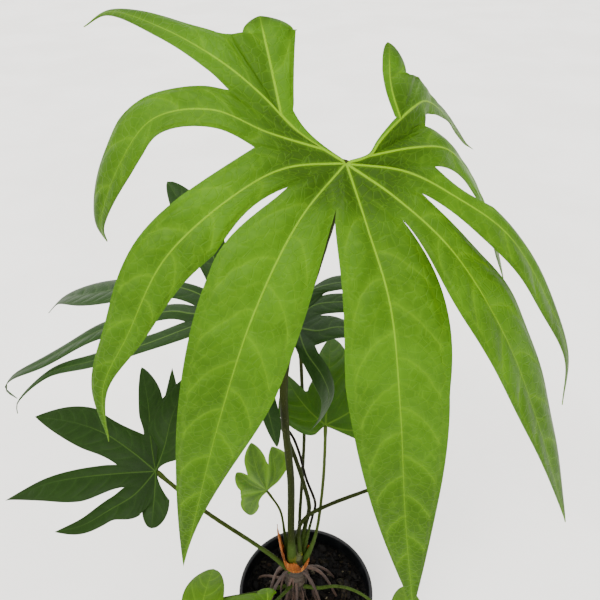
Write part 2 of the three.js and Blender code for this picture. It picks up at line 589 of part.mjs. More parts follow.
function chunk(random, radius) {
  const geometry = new THREE.IcosahedronGeometry(radius, 0);
  const stretch = [0.7 + random() * 0.6, 0.7 + random() * 0.6, 0.45 + random() * 0.4];
  const turn = new THREE.Euler(random() * 3, random() * 3, random() * 3);
  const found = new Map();
  const points = [];
  const position = geometry.getAttribute('position');
  const order = [];
  for (let i = 0; i < position.count; i += 1) {
    const p = new THREE.Vector3().fromBufferAttribute(position, i);
    const key = [p.x, p.y, p.z].map((v) => Math.round(v * 1000)).join();
    if (!found.has(key)) {
      found.set(key, points.push(p.clone().multiply(vec(stretch)).applyEuler(turn)) - 1);
    }
    order.push(found.get(key));
  }
  const triangles = [];
  for (let i = 0; i < order.length; i += 3) {
    triangles.push(order.slice(i, i + 3));
  }
  return solidFrom(points, triangles);
}

function mixSolid() {
  const { surface, dome, smallest, largest } = mix;
  const floor = pot.floor + gap;
  const outline = [
    [0, floor], [insideRadius(floor + 2) - gap - 1.5, floor], [insideRadius(floor + 2) - gap, floor + 2],
    [insideRadius(surface - 3) - gap, surface - 3], [insideRadius(surface) - gap - 3, surface],
    [insideRadius(surface) * 0.5, surface + dome * 0.6], [0, surface + dome],
  ];
  const random = seeded(mix.seed);
  const chunks = [lathe(outline, 26)];
  for (let i = 0; i < mix.chunks; i += 1) {
    const radius = smallest + random() * (largest - smallest);
    const reach = Math.sqrt(random()) * (insideRadius(surface) - 7 - radius);
    const angle = random() * Math.PI * 2;
    const height = surface + 2 - (reach / 50) * 2;
    const place = [reach * Math.cos(angle), reach * Math.sin(angle), height];
    chunks.push(chunk(random, radius).translate(place));
  }
  return largestBody(wasm.Manifold.union(chunks));
}

// A root leaves the crown sideways, arches over and dives into the mix.
function rootLines() {
  const random = seeded(roots.seed);
  const lines = [];
  for (let i = 0; i < roots.count; i += 1) {
    const angle = ((i + random() * 0.6) / roots.count) * Math.PI * 2;
    const start = roots.lowest + random() * (roots.highest - roots.lowest);
    const reach = roots.shortest + random() * (roots.longest - roots.shortest);
    const out = (r, z) => vec([crown.x + r * Math.cos(angle), crown.y + r * Math.sin(angle), z]);
    const arch = mix.surface + (start - mix.surface) * (0.72 + random() * 0.2);
    const entry = out(reach, mix.surface + 4);
    lines.push([out(4, start), out(reach * 0.55, arch), entry, out(reach + 3, roots.tip)]);
  }
  return lines;
}

function crownSolid(grow) {
  const { x, y, foot, top, radius } = crown;
  const height = top - foot;
  const axis = [vec([x, y, foot - grow]), vec([x, y, (foot + top) / 2]), vec([x, y, top + grow])];
  const swell = (share) => radius * (0.86 + 0.14 * Math.sin(share * Math.PI)) - Math.max(0, share - 0.7) * 9;
  let solid = tube(axis, (share) => swell(share) + grow, 10, Math.round(height / 14));
  rootLines().forEach((line) => {
    const taper = (share) => roots.radius + (roots.tipRadius - roots.radius) * share + grow;
    solid = solid.add(tube(line, taper, 5, 6));
  });
  return solid;
}

// The torn papery sheath: a thin band round the crown with a ragged top and one tall point.
function sheathSolid() {
  const around = 22;
  const rings = 3;
  const inner = crown.radius + gap;
  const points = [];
  [0, 1].forEach((outer) => {
    for (let i = 0; i < around; i += 1) {
      const angle = (i / around) * Math.PI * 2;
      const waves = sheath.ragged * Math.sin(angle * 3 + 1) + sheath.frayed * Math.sin(angle * 7);
      const turned = angle - sheath.pointAngle;
      const away = Math.abs(Math.atan2(Math.sin(turned), Math.cos(turned)));
      const tall = sheath.height + waves + sheath.point * Math.max(0, 1 - away / sheath.pointWidth);
      for (let k = 0; k <= rings; k += 1) {
        const share = k / rings;
        const flare = Math.sin(share * 2.5) + share * (tall / 14);
        const r = inner + outer * sheath.thickness + flare;
        const height = sheath.bottom + tall * share;
        points.push(vec([crown.x + r * Math.cos(angle), crown.y + r * Math.sin(angle), height]));
      }
    }
  });
  const id = (outer, i, k) => (outer * around + (i % around)) * (rings + 1) + k;
  const triangles = [];
  const quad = (a, b, c, d) => triangles.push([a, b, c], [a, c, d]);
  for (let i = 0; i < around; i += 1) {
    for (let k = 0; k < rings; k += 1) {
      quad(id(1, i, k), id(1, i + 1, k), id(1, i + 1, k + 1), id(1, i, k + 1));
      quad(id(0, i + 1, k), id(0, i, k), id(0, i, k + 1), id(0, i + 1, k + 1));
    }
    quad(id(0, i, 0), id(0, i + 1, 0), id(1, i + 1, 0), id(1, i, 0));
    quad(id(1, i, rings), id(1, i + 1, rings), id(0, i + 1, rings), id(0, i, rings));
  }
  return solidFrom(points, triangles);
}

// Assembly

const plant = new THREE.Group();

function addMesh(name, solid, colour, roughness = 0.55) {
  const material = new THREE.MeshStandardMaterial({ color: colours[colour], roughness, metalness: 0 });
  const mesh = new THREE.Mesh(geometryFrom(solid), material);
  mesh.name = name;
  plant.add(mesh);
}

addMesh('pot', potSolid(), 'pot', 0.45);
addMesh('potting_mix', largestBody(mixSolid().subtract(crownSolid(gap))), 'mix', 0.95);
addMesh('crown_and_roots', crownSolid(0), 'crown', 0.8);

// Each petiole starts in the crown and keeps clear of it and of the petioles before it.
let taken = crownSolid(gap);
leaves.forEach((leaf) => {
  const { flat, petiole, clear } = leafSolids(leaf);
  addMesh(`petiole_${leaf.name}`, largestBody(petiole.subtract(taken)), leaf.stalkColour, 0.5);
  addMesh(`leaf_${leaf.name}`, flat, leaf.colour, 0.4);
  taken = taken.add(clear);
});
addMesh('papery_sheath', largestBody(sheathSolid().subtract(taken)), 'sheath', 0.85);

export default plant;
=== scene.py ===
# A young Anthurium pedatoradiatum in a round nursery pot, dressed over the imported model.
# Lengths in the tables are millimetres, as in the model's own source. Meshes are made in metres.

import json
import math
import random

import bpy
import numpy as np
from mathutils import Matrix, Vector, noise

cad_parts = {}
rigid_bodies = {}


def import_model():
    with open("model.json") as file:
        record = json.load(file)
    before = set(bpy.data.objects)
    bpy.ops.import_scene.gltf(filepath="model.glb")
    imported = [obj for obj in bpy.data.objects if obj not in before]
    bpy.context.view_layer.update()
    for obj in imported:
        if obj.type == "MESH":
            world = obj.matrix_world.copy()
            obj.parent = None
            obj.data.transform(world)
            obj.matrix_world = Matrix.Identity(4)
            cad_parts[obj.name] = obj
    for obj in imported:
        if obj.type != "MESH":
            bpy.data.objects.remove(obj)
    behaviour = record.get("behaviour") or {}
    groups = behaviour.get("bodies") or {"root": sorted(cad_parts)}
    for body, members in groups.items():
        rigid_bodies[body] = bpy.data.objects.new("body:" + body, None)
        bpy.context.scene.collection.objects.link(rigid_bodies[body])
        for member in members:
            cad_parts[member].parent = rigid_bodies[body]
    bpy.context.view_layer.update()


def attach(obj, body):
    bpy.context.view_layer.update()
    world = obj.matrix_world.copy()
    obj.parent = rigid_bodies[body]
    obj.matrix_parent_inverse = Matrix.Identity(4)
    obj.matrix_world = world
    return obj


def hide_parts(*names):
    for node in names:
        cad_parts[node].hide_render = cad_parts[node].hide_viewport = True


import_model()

# Sizes shared with the model

POT = {"height": 105, "rim": 60, "base": 43, "wall": 1.6, "lip_height": 9, "lip": 2.4}
DRAIN = {"count": 6, "radius": 4, "ring": 27}
MIX_SURFACE = 92
MIX_DOME = 2.5
MIX_BOTTOM = 2.4
MIX_EDGE = 88
MIX_GAP = 0.4
CHIPS = {"count": 620, "large": 241, "fibres": 46}
CROWN = {"x": -9, "y": 0, "foot": 80, "top": 165, "radius": 9.5}
ROOTS = {"count": 15, "radius": 1.5, "tip": 0.9, "seed": 21, "end": 84}
ROOT_START = 108, 152
ROOT_REACH = 18, 38
THIN_ROOTS = 16
SHEATH = {"bottom": 148, "height": 13, "ragged": 4, "frayed": 2.5}
SHEATH_POINT = {"height": 52, "angle": 3.3, "width": 0.6}
STALK_FOOT = 45
GAP = 0.3

# Leaf shapes, in the model's own terms: the points of a midrib, "rib", are distance from the leaf's
# centre, bearing and height over the leaf's plane, and the lobes are listed by falling bearing.
# "web" is the length of midrib that shares its blade with the neighbours, and "sinus" the notch
# before the next lobe. "before" and "after" shape the free edges: greatest half width, its place
# from notch to tip, how sharply the tip tapers, how the edge widens and how far it narrows first.
# "heel" is the half width at the web's end on an open side, and "flare" how that side widens.
# "parent" and "row" name the midrib that a lobe branches from, and where on it.

def lobe(name, web, rib, before, after, **more):
    return {"name": name, "web": web, "rib": rib, "before": before, "after": after, **more}


MAIN_LOBES = [
    lobe("left_heel", 34, [(50, 150, -5), (71, 158, -12)], [13, 0.05, 0.8, 2, -1], [8.5, 0.35, 0.7],
        parent="left_back", row=3, roll=-15, heel=14, sinus=[72, 147, -6.5]),
    lobe("left_back", 58,
        [(24, 132, -2), (45, 138, -2), (66, 138, -5), (96, 135, -10), (122, 131, -18), (132, 126, -24)],
        [9, 0.2, 1.6], [6, 0.15, 1.2], roll=-35, sinus=[59, 131, -3]),
    lobe("left_side", 36,
        [(36, 121, 0), (62, 121, -2), (87, 112, -6), (104, 98, -10), (121, 85, -16), (123, 81, -20)],
        [15, 0.5, 0.65, 2, 2.5], [9.5, 0.5, 1.1, 2, 2], parent="left_back", row=1, roll=-25,
        sinus=[40, 110, 2]),
    lobe("left_outer", 42,
        [(26, 96, 3), (47, 86, 7), (89, 73, 9), (128, 62, 6), (161, 57, 1), (188, 50, -6)],
        [15.5, 0.32, 1.15], [14, 0.22, 2, 2, 3], roll=-10, sinus=[27, 79, 5]),
    lobe("left_inner", 30, [(30, 50, 6), (74, 42, 12), (132, 36, 11), (230.5, 31.2, 3)],
        [25.6, 0.2, 0.95, 1.4, -1.4], [23, 0.38, 2.4, 0.9, -1], sinus=[19, 22, 7]),
    lobe("middle", 30, [(28, -10, 7), (63, -9, 12), (115, -4, 11), (180, -1, 5), (246, 0, 0)],
        [24.4, 0.34, 1.1, 0.7, 1.4], [23.3, 0.37, 1.05, 0.8, -3], sinus=[33, -37, 6]),
    lobe("right_inner", 38, [(26, -47, 4), (60, -42, 8), (106, -34, 9), (153, -28, 6), (218, -23, -2)],
        [17.5, 0.27, 1.5, 1.4], [19, 0.35, 0.9], roll=50, sinus=[35, -60, 3]),
    lobe("right_outer", 42,
        [(26, -73, 1), (49, -64, 1), (79, -57, -2), (114, -47, -8), (146, -40, -14), (170, -33, -20)],
        [11.5, 0.3, 1.6], [7.5, 0.2, 1.1, 2, 3], roll=48, sinus=[39, -78, -4]),
    lobe("right_side", 36,
        [(31, -92, -6), (45, -87, -14), (56, -77, -26), (72, -64, -42), (100, -49, -62), (119, -43, -74)],
        [11.5, 0.3, 1.2, 2, 3], [9, 0.3, 0.9], parent="right_back", row=1, roll=50, twist=-30,
        sinus=[39, -103, -18]),
    lobe("right_back", 54,
        [(11, -98, -1), (17, -112, -3), (25, -117, -6), (37, -118, -14), (45, -115, -28),
            (54, -101, -52), (69, -83, -84), (76, -80, -94)], [3, 0.15, 1.5, 2, 2], [10, 0.2, 1.6],
        roll=30, twist=-60, sinus=[50, -127, -34]),
    lobe("right_heel", 21, [(37, -139, -12), (54, -150, -24)], [11, 0.4, 0.5, 1], [3.8, 0.3, 0.5],
        parent="right_back", row=3, roll=-20, heel=4),
]

DARK_LEFT_LOBES = [
    lobe("inner_back", 16, [(18, 140, 2), (36, 136, 0)], [7, 0.3, 0.7], [8, 0.3, 0.7], heel=5,
        sinus=[20, 105, 6]),
    lobe("back", 28, [(29, 79, 22), (58, 74, 42), (78, 71, 60)], [13, 0.5, 0.6], [11, 0.4, 0.7],
        sinus=[24, 57, 6]),
    lobe("upper", 28, [(43, 45, 6), (79, 38, 4), (124, 35, -6), (168, 35, -20), (182, 33, -30)],
        [14, 0.6, 1], [14, 0.5, 1], sinus=[27, 29, 3]),
    lobe("middle", 28,
        [(25, 10, 4), (40, 16, 5), (88, 13, -2), (131, 8, -14), (160, 8, -24), (167, 7.5, -31),
            (157, 4.5, -34)], [9, 0.35, 1], [10, 0.3, 1], sinus=[30, 3, 2]),
    lobe("lower", 28,
        [(28, -12, 2), (54, -9, 0), (91, -1, -8), (128, 4, -18), (152, 1, -30), (154, 0, -36)],
        [8, 0.3, 1], [6, 0.3, 1], sinus=[24, -32, 2]),
    lobe("front", 26, [(28, -60, 2), (50, -66, -8), (68, -72, -22)], [8, 0.3, 1.1], [8, 0.3, 1.1],
        sinus=[18, -90, 2]),
    lobe("inner_front", 16, [(18, -118, 1), (34, -122, -5)], [8, 0.3, 0.7], [7, 0.3, 0.7], heel=5),
]

DARK_RIGHT_LOBES = [
    lobe("inner_front", 12, [(13, 153, -1), (25, 156, -5)], [5, 0.3, 0.7], [5, 0.3, 0.7], heel=4,
        sinus=[10, 118, -1]),
    lobe("curled", 16, [(21, 83, -2), (33, 69, -12), (38, 63, -26), (37, 66, -44), (36, 74, -54)],
        [7.5, 0.35, 1.2], [6.7, 0.25, 1.3], sinus=[18, 61, -1]),
    lobe("low", 16, [(13, 27, 2), (26, 5, 2), (54, 1, -8), (81, 3, -26)], [9, 0.3, 1.1], [9, 0.3, 1.1],
        sinus=[18, -30, 3]),
    lobe("middle", 24, [(19, -57, 4), (36, -34, 5), (69, -22, -3), (102, -18, -20)], [9, 0.3, 1.1],
        [8, 0.3, 1.1], sinus=[34, -54, 5]),
    lobe("upper", 26, [(26, -72, 7), (48, -53, 7), (92, -35, -2), (127, -28, -16)], [8, 0.3, 1.1],
        [9, 0.3, 1.1], sinus=[16, -100, 2]),
    lobe("inner_back", 12, [(14, -128, 1), (28, -126, -3)], [6, 0.3, 0.7], [6, 0.3, 0.7], heel=5),
]

LOW_LOBES = [
    lobe("lifted", 13, [(18, 92, 5), (40, 88, 11), (74, 88, 11)], [15, 0.3, 0.8], [18, 0.25, 0.8],
        heel=12, sinus=[12, 80, 3]),
    lobe("rear", 24, [(22, 69, 1), (52, 73, 0), (80, 70, -1)], [8, 0.3, 1], [6, 0.3, 1],
        sinus=[40, 66, 1]),
    lobe("upright", 30, [(23, 52, 1), (51, 54, 1), (87, 51, -3)], [12, 0.4, 0.8], [8.5, 0.3, 0.8],
        sinus=[30, 43, 2]),
    lobe("left_upper", 29, [(22, 14, 3), (51, 11, 6), (80, 6, 5), (125, 0, -3)], [14.5, 0.4, 0.9, 2, 3],
        [16.5, 0.35, 1], sinus=[31, -13, 4]),
    lobe("left", 28, [(31, -25, 3), (62, -26, 5), (87, -27, 3), (130, -30, -6)], [7, 0.1, 0.9],
        [17.5, 0.3, 1.3], sinus=[25, -49, 3]),
    lobe("left_lower", 26, [(21, -73, 2), (41, -63, 3), (63, -58, 2), (88, -50, -3)], [8, 0.2, 1.1],
        [7.5, 0.3, 0.9], sinus=[32, -97, 1]),
    lobe("heel", 20, [(13, -117, 0), (39, -112, -4)], [9, 0.3, 0.5], [12, 0.2, 0.5], heel=12),
]

YOUNG_LOBES = [
    lobe("right_heel", 22, [(14, 100, 0), (37, 91, -4)], [7, 0.2, 0.5], [9, 0.2, 0.5], heel=6,
        sinus=[26, 80, -1]),
    lobe("right", 23, [(18, 58, 0), (46, 52, -6)], [12, 0.3, 0.8], [10, 0.3, 0.8], sinus=[30, 28, 0]),
    lobe("middle", 28, [(20, 0, 2), (42, 0, 3), (68, 0, -3)], [16, 0.3, 0.55], [11, 0.2, 0.8],
        sinus=[28, -31, 1]),
    lobe("left", 22, [(14, -54, 1), (33, -47, 0), (49, -41, -3)], [7, 0.2, 0.9], [19, 0.06, 1.75],
        heel=19, flare=0.25),
]

PALE_LOBES = [
    lobe("right", 20, [(12, 53, 0), (36, 26, -2)], [13, 0.25, 0.8], [5, 0.2, 0.8], heel=12,
        sinus=[21, 23, 0]),
    lobe("top", 20, [(14, -7, 1), (42, 1, -2)], [9, 0.2, 0.8], [9, 0.3, 0.8], sinus=[19, -34, 0]),
    lobe("left", 16, [(13, -45, 0), (30, -39, -2)], [4, 0.3, 0.6], [9, 0.2, 0.6], sinus=[21, -77, 0]),
    lobe("heel", 14, [(12, -106, 0), (23, -120, -2)], [10, 0.2, 0.5], [6, 0.3, 0.5], heel=6),
]

JUVENILE_LOBES = [
    lobe("right_heel", 12, [(8, 118, 0), (18, 108, -2)], [7, 0.2, 0.5], [9, 0.2, 0.5], heel=5,
        sinus=[17, 64, 0]),
    lobe("middle", 16, [(16, 0, 2), (36, 0, 1), (54, 0, -5)], [16, 0.3, 0.5], [18, 0.3, 0.65],
        sinus=[15, -70, 0]),
    lobe("left_heel", 12, [(8, -118, 0), (18, -108, -2)], [9, 0.2, 0.5], [7, 0.2, 0.5], heel=5),
]

REAR_LOBES = [
    lobe("left_heel", 16, [(12, 112, 0), (26, 112, -5)], [7, 0.2, 0.5], [9, 0.2, 0.5], heel=5,
        sinus=[18, 86, -1]),
    lobe("left", 22, [(18, 58, 0), (46, 52, -6)], [12, 0.3, 0.8], [10, 0.3, 0.8], sinus=[30, 28, 0]),
    lobe("middle", 20, [(20, 0, 2), (42, 1, 3), (70, 2.3, -3)], [6.5, 0.3, 0.8], [8.5, 0.45, 0.8],
        sinus=[20, -25, 0]),
    lobe("right_heel", 12, [(10, -112, -1), (21, -110, -3)], [6, 0.2, 0.5], [6, 0.2, 0.5], heel=4),
]

# "at" is where the stalk joins the blade, "turn" the leaf's bearing, pitch and roll, and "rows" how
# many rows of the model's faces run along the web and along the free part. "stalk" has the radii at
# the foot, above it and at the top, and "petiole" the points that the stalk runs through.

def leaf(name, lobes, at, turn, **more):
    return {"name": name, "lobes": lobes, "at": at, "turn": turn, **more}


LEAVES = [
    leaf("main", MAIN_LOBES, [14.6, -40, 528], [151, -69, -30], colour="bright", rows=[5, 10],
        stalk_look="olive", stalk=[5.2, 2.9, 2.5],
        petiole=[(-12, -3, 150), (-12.5, -4, 202), (-12, -4, 259), (-15, -9, 376), (3.5, -22, 465),
            (13, -32, 512)]),
    leaf("dark_left", DARK_LEFT_LOBES, [-44, 0, 416], [-97, -12, 0], colour="dark", rows=[3, 8],
        stalk_look="dark", stalk=[3, 1.1, 1],
        petiole=[(-3, 4, 150), (0, 5, 173), (5, 8, 202), (7, 9, 217), (0, 12, 243), (-11, 18, 287),
            (-30, 19, 317), (-39, 22, 356), (-43, 14, 400)]),
    leaf("dark_right", DARK_RIGHT_LOBES, [-7, 4, 402], [82, -6, 0], colour="dark", rows=[3, 8],
        stalk_look="olive", stalk=[2.2, 1.4, 1.3],
        petiole=[(-10.5, 7, 150), (-8.5, 7, 172), (-6, 6.5, 190), (-5.3, 12, 204), (-3.7, 24, 227),
            (-2, 38, 263), (-2.5, 42, 292), (-3.8, 39, 320), (-4.6, 30, 350), (-6, 15, 382)]),
    leaf("low", LOW_LOBES, [-111, -3, 273], [-63, -1, 31], colour="low", rows=[3, 8], stalk_look="green",
        stalk=[2.4, 1.8, 1.6],
        petiole=[(-14, -5, 142), (-26, -4, 160), (-43, -4, 182), (-80, -4, 227), (-104, -4, 264)]),
    leaf("young", YOUNG_LOBES, [13, 10, 308], [5, 30, -2], colour="young", rows=[3, 6],
        stalk_look="green", stalk=[3, 1.3, 1.2],
        petiole=[(-2, -2, 150), (6, 0, 179), (9, 2, 197), (12.5, 6, 251), (13, 8, 292)]),
    leaf("pale", PALE_LOBES, [-32, 14, 227], [-23, 23, 16], colour="pale", rows=[2, 5],
        stalk_look="green", stalk=[3.4, 1.2, 0.9],
        petiole=[(-15, 3, 150), (-18, 4, 183), (-21.5, 8, 210), (-29, 13, 222)]),
    leaf("right_hidden", YOUNG_LOBES, [72, 8, 251], [50, 20, -10], size=0.55, colour="young", rows=[2, 5],
        stalk_look="olive", stalk=[2.6, 1.7, 1.4],
        petiole=[(-5, 0, 150), (-5.5, -2, 203), (-2, -2, 212), (3.5, -2, 220), (19, -1, 231),
            (46, 3, 242)]),
    leaf("rear_hidden", REAR_LOBES, [-35, 8, 367], [152, -50, -20], size=0.8, colour="dark", rows=[2, 5],
        stalk_look="olive", stalk=[3, 1.9, 1.4],
        petiole=[(-6, 5, 150), (-1, 7, 190), (2, 6, 217), (-3, 8, 247), (-11, 9, 282), (-24, 11, 324),
            (-36, 12, 357)]),
    leaf("front_left", JUVENILE_LOBES, [-88, -58, 143], [9, 7, 0], colour="fresh", rows=[3, 5],
        stalk_look="green", stalk=[2, 1.3, 1.2],
        petiole=[(-14, -3, 116), (-45, -12, 119), (-79, -24, 127), (-92, -43, 135)]),
    leaf("front_middle", JUVENILE_LOBES, [-34, -36, 138], [-106, 1, 0], size=1.08, colour="fresh",
        rows=[3, 5], stalk_look="green", stalk=[1.8, 1.3, 1.2],
        petiole=[(-11, -6, 125), (-17, -17, 132), (-29, -32, 137)]),
    leaf("front_right", JUVENILE_LOBES, [82, -66, 147], [-4, 12, 0], size=0.78, colour="fresh",
        rows=[3, 5], stalk_look="green", stalk=[2, 1.3, 1.2],
        petiole=[(-4, -5, 118), (9.5, -10, 124), (25, -20, 145), (37, -27, 153), (50, -38, 158),
            (69, -59, 153), (80, -68, 147)]),
]

# Vectors and curves


def unit(v):
    return v / max(float(np.linalg.norm(v)), 1e-12)


def spot(point, size):
    distance, bearing, height = point
    b = math.radians(bearing)
    return np.array([distance * math.sin(b), distance * math.cos(b), height]) * size


def leaf_axes(turn):
    """The leaf's X, its Y along the middle lobe and its Z out of the upper face."""
    b, c, r = (math.radians(t) for t in turn)
    y = np.array([math.sin(b) * math.cos(c), math.cos(b) * math.cos(c), math.sin(c)])
    up = np.array([-math.sin(b) * math.sin(c), -math.cos(b) * math.sin(c), math.cos(c)])
    side = np.cross(y, up)
    return side * math.cos(r) + up * math.sin(r), y, up * math.cos(r) - side * math.sin(r)


class Line:
    """A smooth line through points, read by the distance along it."""

    def __init__(self, points, steps=24):
        p = [np.asarray(q, float) for q in points]
        p = [2 * p[0] - p[1]] + p + [2 * p[-1] - p[-2]]
        out = [p[1]]
        for a, b, c, d in zip(p, p[1:], p[2:], p[3:]):
            t = [max(float(np.linalg.norm(w - v)) ** 0.5, 1e-4) for v, w in ((a, b), (b, c), (c, d))]
            start = ((b - a) / t[0] - (c - a) / (t[0] + t[1]) + (c - b) / t[1]) * t[1]
            end = ((c - b) / t[1] - (d - b) / (t[1] + t[2]) + (d - c) / t[2]) * t[1]
            for k in range(1, steps + 1):
                s = k / steps
                h = b * (2 * s**3 - 3 * s**2 + 1) + c * (3 * s**2 - 2 * s**3)
                out.append(h + start * (s**3 - 2 * s**2 + s) + end * (s**3 - s**2))
        self.points = np.array(out)
        steps_mm = np.linalg.norm(np.diff(self.points, axis=0), axis=1)
        self.reach = np.concatenate([[0], np.cumsum(steps_mm)])
        self.length = float(self.reach[-1])

    def at(self, distance):
        return np.array([np.interp(distance, self.reach, self.points[:, i]) for i in range(3)])


# Leaf blades

PUFF = 0.05
SLIP_FADE = 0.45
RIPPLED_LOBE = 150
BLADE_THICKNESS = 0.55
KEEL_DEPTH = 1.2
LOWER_RELIEF = 0.6


def half_width(share, start, shape):
    widest, belly, tip, ease, waist = (list(shape) + [2, 0][len(shape) - 3 :])[:5]
    if share < belly:
        grown = (widest - start) * math.sin(share / belly * math.pi / 2) ** ease
        return start + grown - waist * math.sin(share / belly * math.pi)
    return widest * max(0, 1 - ((share - belly) / (1 - belly)) ** 1.7) ** tip


class Sheet:
    """The upper face of a leaf, with each corner's place on its lobe for the veins."""

    def __init__(self, leaf, fine, columns):
        self.size = leaf.get("size", 1)
        self.fine = fine
        self.web = leaf["rows"][0] * fine
        self.free = leaf["rows"][1] * fine
        self.rows = self.web + self.free
        self.columns = columns
        self.points, self.keel, self.relief = [], [], []
        self.faces, self.shape, self.place = [], [], []
        self.look = LOOKS[leaf["colour"]]
        self.chance = random.Random(leaf["name"])
        self.centre = self.add(np.zeros(3), 1)
        self.ribs = {}
        lobes = leaf["lobes"]
        for lobe in sorted(lobes, key=lambda lobe: "parent" in lobe):
            self.ribs[lobe["name"]] = self.rib(lobe)
        notches = [self.notch(a, b) for a, b in zip(lobes, lobes[1:])]
        for i, lobe in enumerate(lobes):
            self.side(lobe, 1, notches[i - 1] if i else None, lobe["before"])
            self.side(lobe, -1, notches[i] if i < len(notches) else None, lobe["after"])

    def add(self, point, keel=0.0):
        self.points.append(np.array(point, float))
        self.keel.append(keel)
        self.relief.append([])
        return len(self.points) - 1

    def rib(self, lobe):
        parent = self.ribs[lobe["parent"]] if "parent" in lobe else None
        fork = lobe["row"] * self.fine if parent else 0
        ids = parent["ids"][: fork + 1] if parent else [self.centre]
        along = parent["along"][: fork + 1] if parent else [0.0]
        line = Line([self.points[ids[-1]]] + [spot(p, self.size) for p in lobe["rib"]])
        web = lobe["web"] * self.size
        base = along[-1]
        for k in range(fork + 1, self.rows + 1):
            if k <= self.web:
                s = web * (k - fork) / (self.web - fork)
            else:
                s = web + (line.length - web) * (k - self.web) / self.free
            ids = ids + [self.add(line.at(s), 1 - k / self.rows)]
            along = along + [base + s]
        across, upward = [], []
        up = np.array([0, 0, 1.0])
        for k, i in enumerate(ids):
            forward = unit(self.points[ids[min(k + 1, self.rows)]] - self.points[ids[max(k - 1, 0)]])
            up = unit(up - forward * (up @ forward))
            right = np.cross(forward, up)
            twist = math.radians(lobe.get("twist", 0)) * max(0, (k - self.web) / self.free)
            roll = math.radians(lobe.get("roll", 0)) * min(1, k / self.web) + twist
            across.append(right * math.cos(roll) + up * math.sin(roll))
            upward.append(up * math.cos(roll) - right * math.sin(roll))
        return {"ids": ids, "along": along, "across": across, "upward": upward}

    def notch(self, lobe, following):
        a = self.ribs[lobe["name"]]["ids"]
        b = self.ribs[following["name"]]["ids"]
        fork = max(k for k in range(self.web + 1) if a[k] == b[k])
        line = a[: fork + 1]
        start = self.points[a[fork]]
        end = spot(lobe["sinus"], self.size)
        for k in range(fork + 1, self.web + 1):
            share = (k - fork) / (self.web - fork)
            p, q = self.points[a[k]], self.points[b[k]]
            point = start + (end - start) * share
            follow = 0.8 * (1 - share)
            point[2] = (p[2] + q[2]) / 2 * follow + point[2] * (1 - follow)
            point[2] += float(np.linalg.norm(p - q)) * PUFF * (1 - share**2)
            line = line + [self.add(point)]
        return fork, line

    def edge(self, lobe, hand, notch, shape):
        rib = self.ribs[lobe["name"]]
        ids, across = rib["ids"], rib["across"]
        scaled = [shape[0] * self.size] + list(shape[1:])
        reach = rib["along"][-1] - rib["along"][self.web]
        start = lobe.get("heel", 0) * self.size
        slip = np.zeros(3)
        fork, line = notch or (0, [])
        if notch:
            end = self.points[line[self.web]]
            start = abs(float((end - self.points[ids[self.web]]) @ across[self.web]))
            slip = end - (self.points[ids[self.web]] + across[self.web] * start * hand)
        waves = self.chance.uniform(2, 4)
        phase = self.chance.uniform(0, 6)
        edge = []
        for k, i in enumerate(ids):
            out = across[k] * hand
            if k <= fork or k == self.rows:
                edge.append(i)
            elif notch and k <= self.web:
                edge.append(line[k])
            elif k <= self.web:
                width = 1 + (start - 1) * (k / self.web) ** lobe.get("flare", 2)
                edge.append(self.add(self.points[i] + out * width))
            else:
                share = (k - self.web) / self.free
                width = half_width(share, start, scaled)
                fade = max(0, 1 - share / SLIP_FADE) ** 2
                wave = math.sin(share * waves * 6.28 + phase) * min(1, share * 5) * (1 - share)
                wave *= min(1, reach / RIPPLED_LOBE) ** 2 * self.look["ripple"]
                lift = rib["upward"][k] * wave
                edge.append(self.add(self.points[i] + out * width + slip * fade + lift))
        return edge

    def side(self, lobe, hand, notch, shape):
        rib = self.ribs[lobe["name"]]
        ids, along, upward = rib["ids"], rib["along"], rib["upward"]
        edge = self.edge(lobe, hand, notch, shape)
        count = self.columns
        rows, marks = [], []
        for k, i in enumerate(ids):
            a, b = self.points[i], self.points[edge[k]]
            span = float(np.linalg.norm(b - a))
            free = min(1, max(0, ((k - self.web) / self.fine + 2) / 3)) if notch else 1
            if edge[k] == i:
                rows.append([i] * (count + 1))
                marks.append([(along[k], 0.0, 0.6, k / self.rows, free)] * (count + 1))
                continue
            row, mark = [i], []
            for c in range(count + 1):
                share = c / count
                if 0 < c < count:
                    rise = PUFF * span * share * (1 - share) * (1 + 3 * free)
                    row.append(self.add(a + (b - a) * share + upward[k] * rise))
                mark.append((along[k], hand * span * share, span, k / self.rows, free))
            row.append(edge[k])
            for c, j in enumerate(row):
                self.relief[j].append(self.height(*mark[c]))
            rows.append(row)
            marks.append(mark)
        for k in range(self.rows):
            for c in range(count):
                quad = [(k, c), (k, c + 1), (k + 1, c + 1), (k + 1, c)]
                quad = quad if hand > 0 else quad[::-1]
                corners = [rows[i][j] for i, j in quad]
                kept = [q for n, q in enumerate(quad) if corners[n] != corners[n - 1]]
                if len({rows[i][j] for i, j in kept}) < 3:
                    continue
                self.faces.append([rows[i][j] for i, j in kept])
                self.shape.append([marks[i][j][:3] for i, j in kept])
                self.place.append([marks[i][j][3:] for i, j in kept])

    def height(self, along, across, span, share, free):
        """How far the blade stands out of its plane: ridged midrib, panels puffed between veins."""
        spacing = self.look["spacing"]
        a = abs(across)
        q = (along - 0.1 * a - 1.25 * a * a / max(span, 6)) / spacing + (0.5 if across < 0 else 0)
        large = math.sin(abs((q + 0.5) % 1 - 0.5) * math.pi)
        small = math.sin(abs((2 * q + 0.5) % 1 - 0.5) * math.pi)
        panel = (0.7 * large + 0.3 * small) * min(1, a / 5) * (1 - min(1, a / max(span, 1)) ** 3)
        panel *= min(1, span / 14) * (0.3 + 0.7 * free)
        ridge = math.exp(-((a / (0.6 + 0.8 * (1 - share))) ** 2)) * (1 - share) ** 0.5
        return self.look["puff"] * panel + self.look["ridge"] * ridge


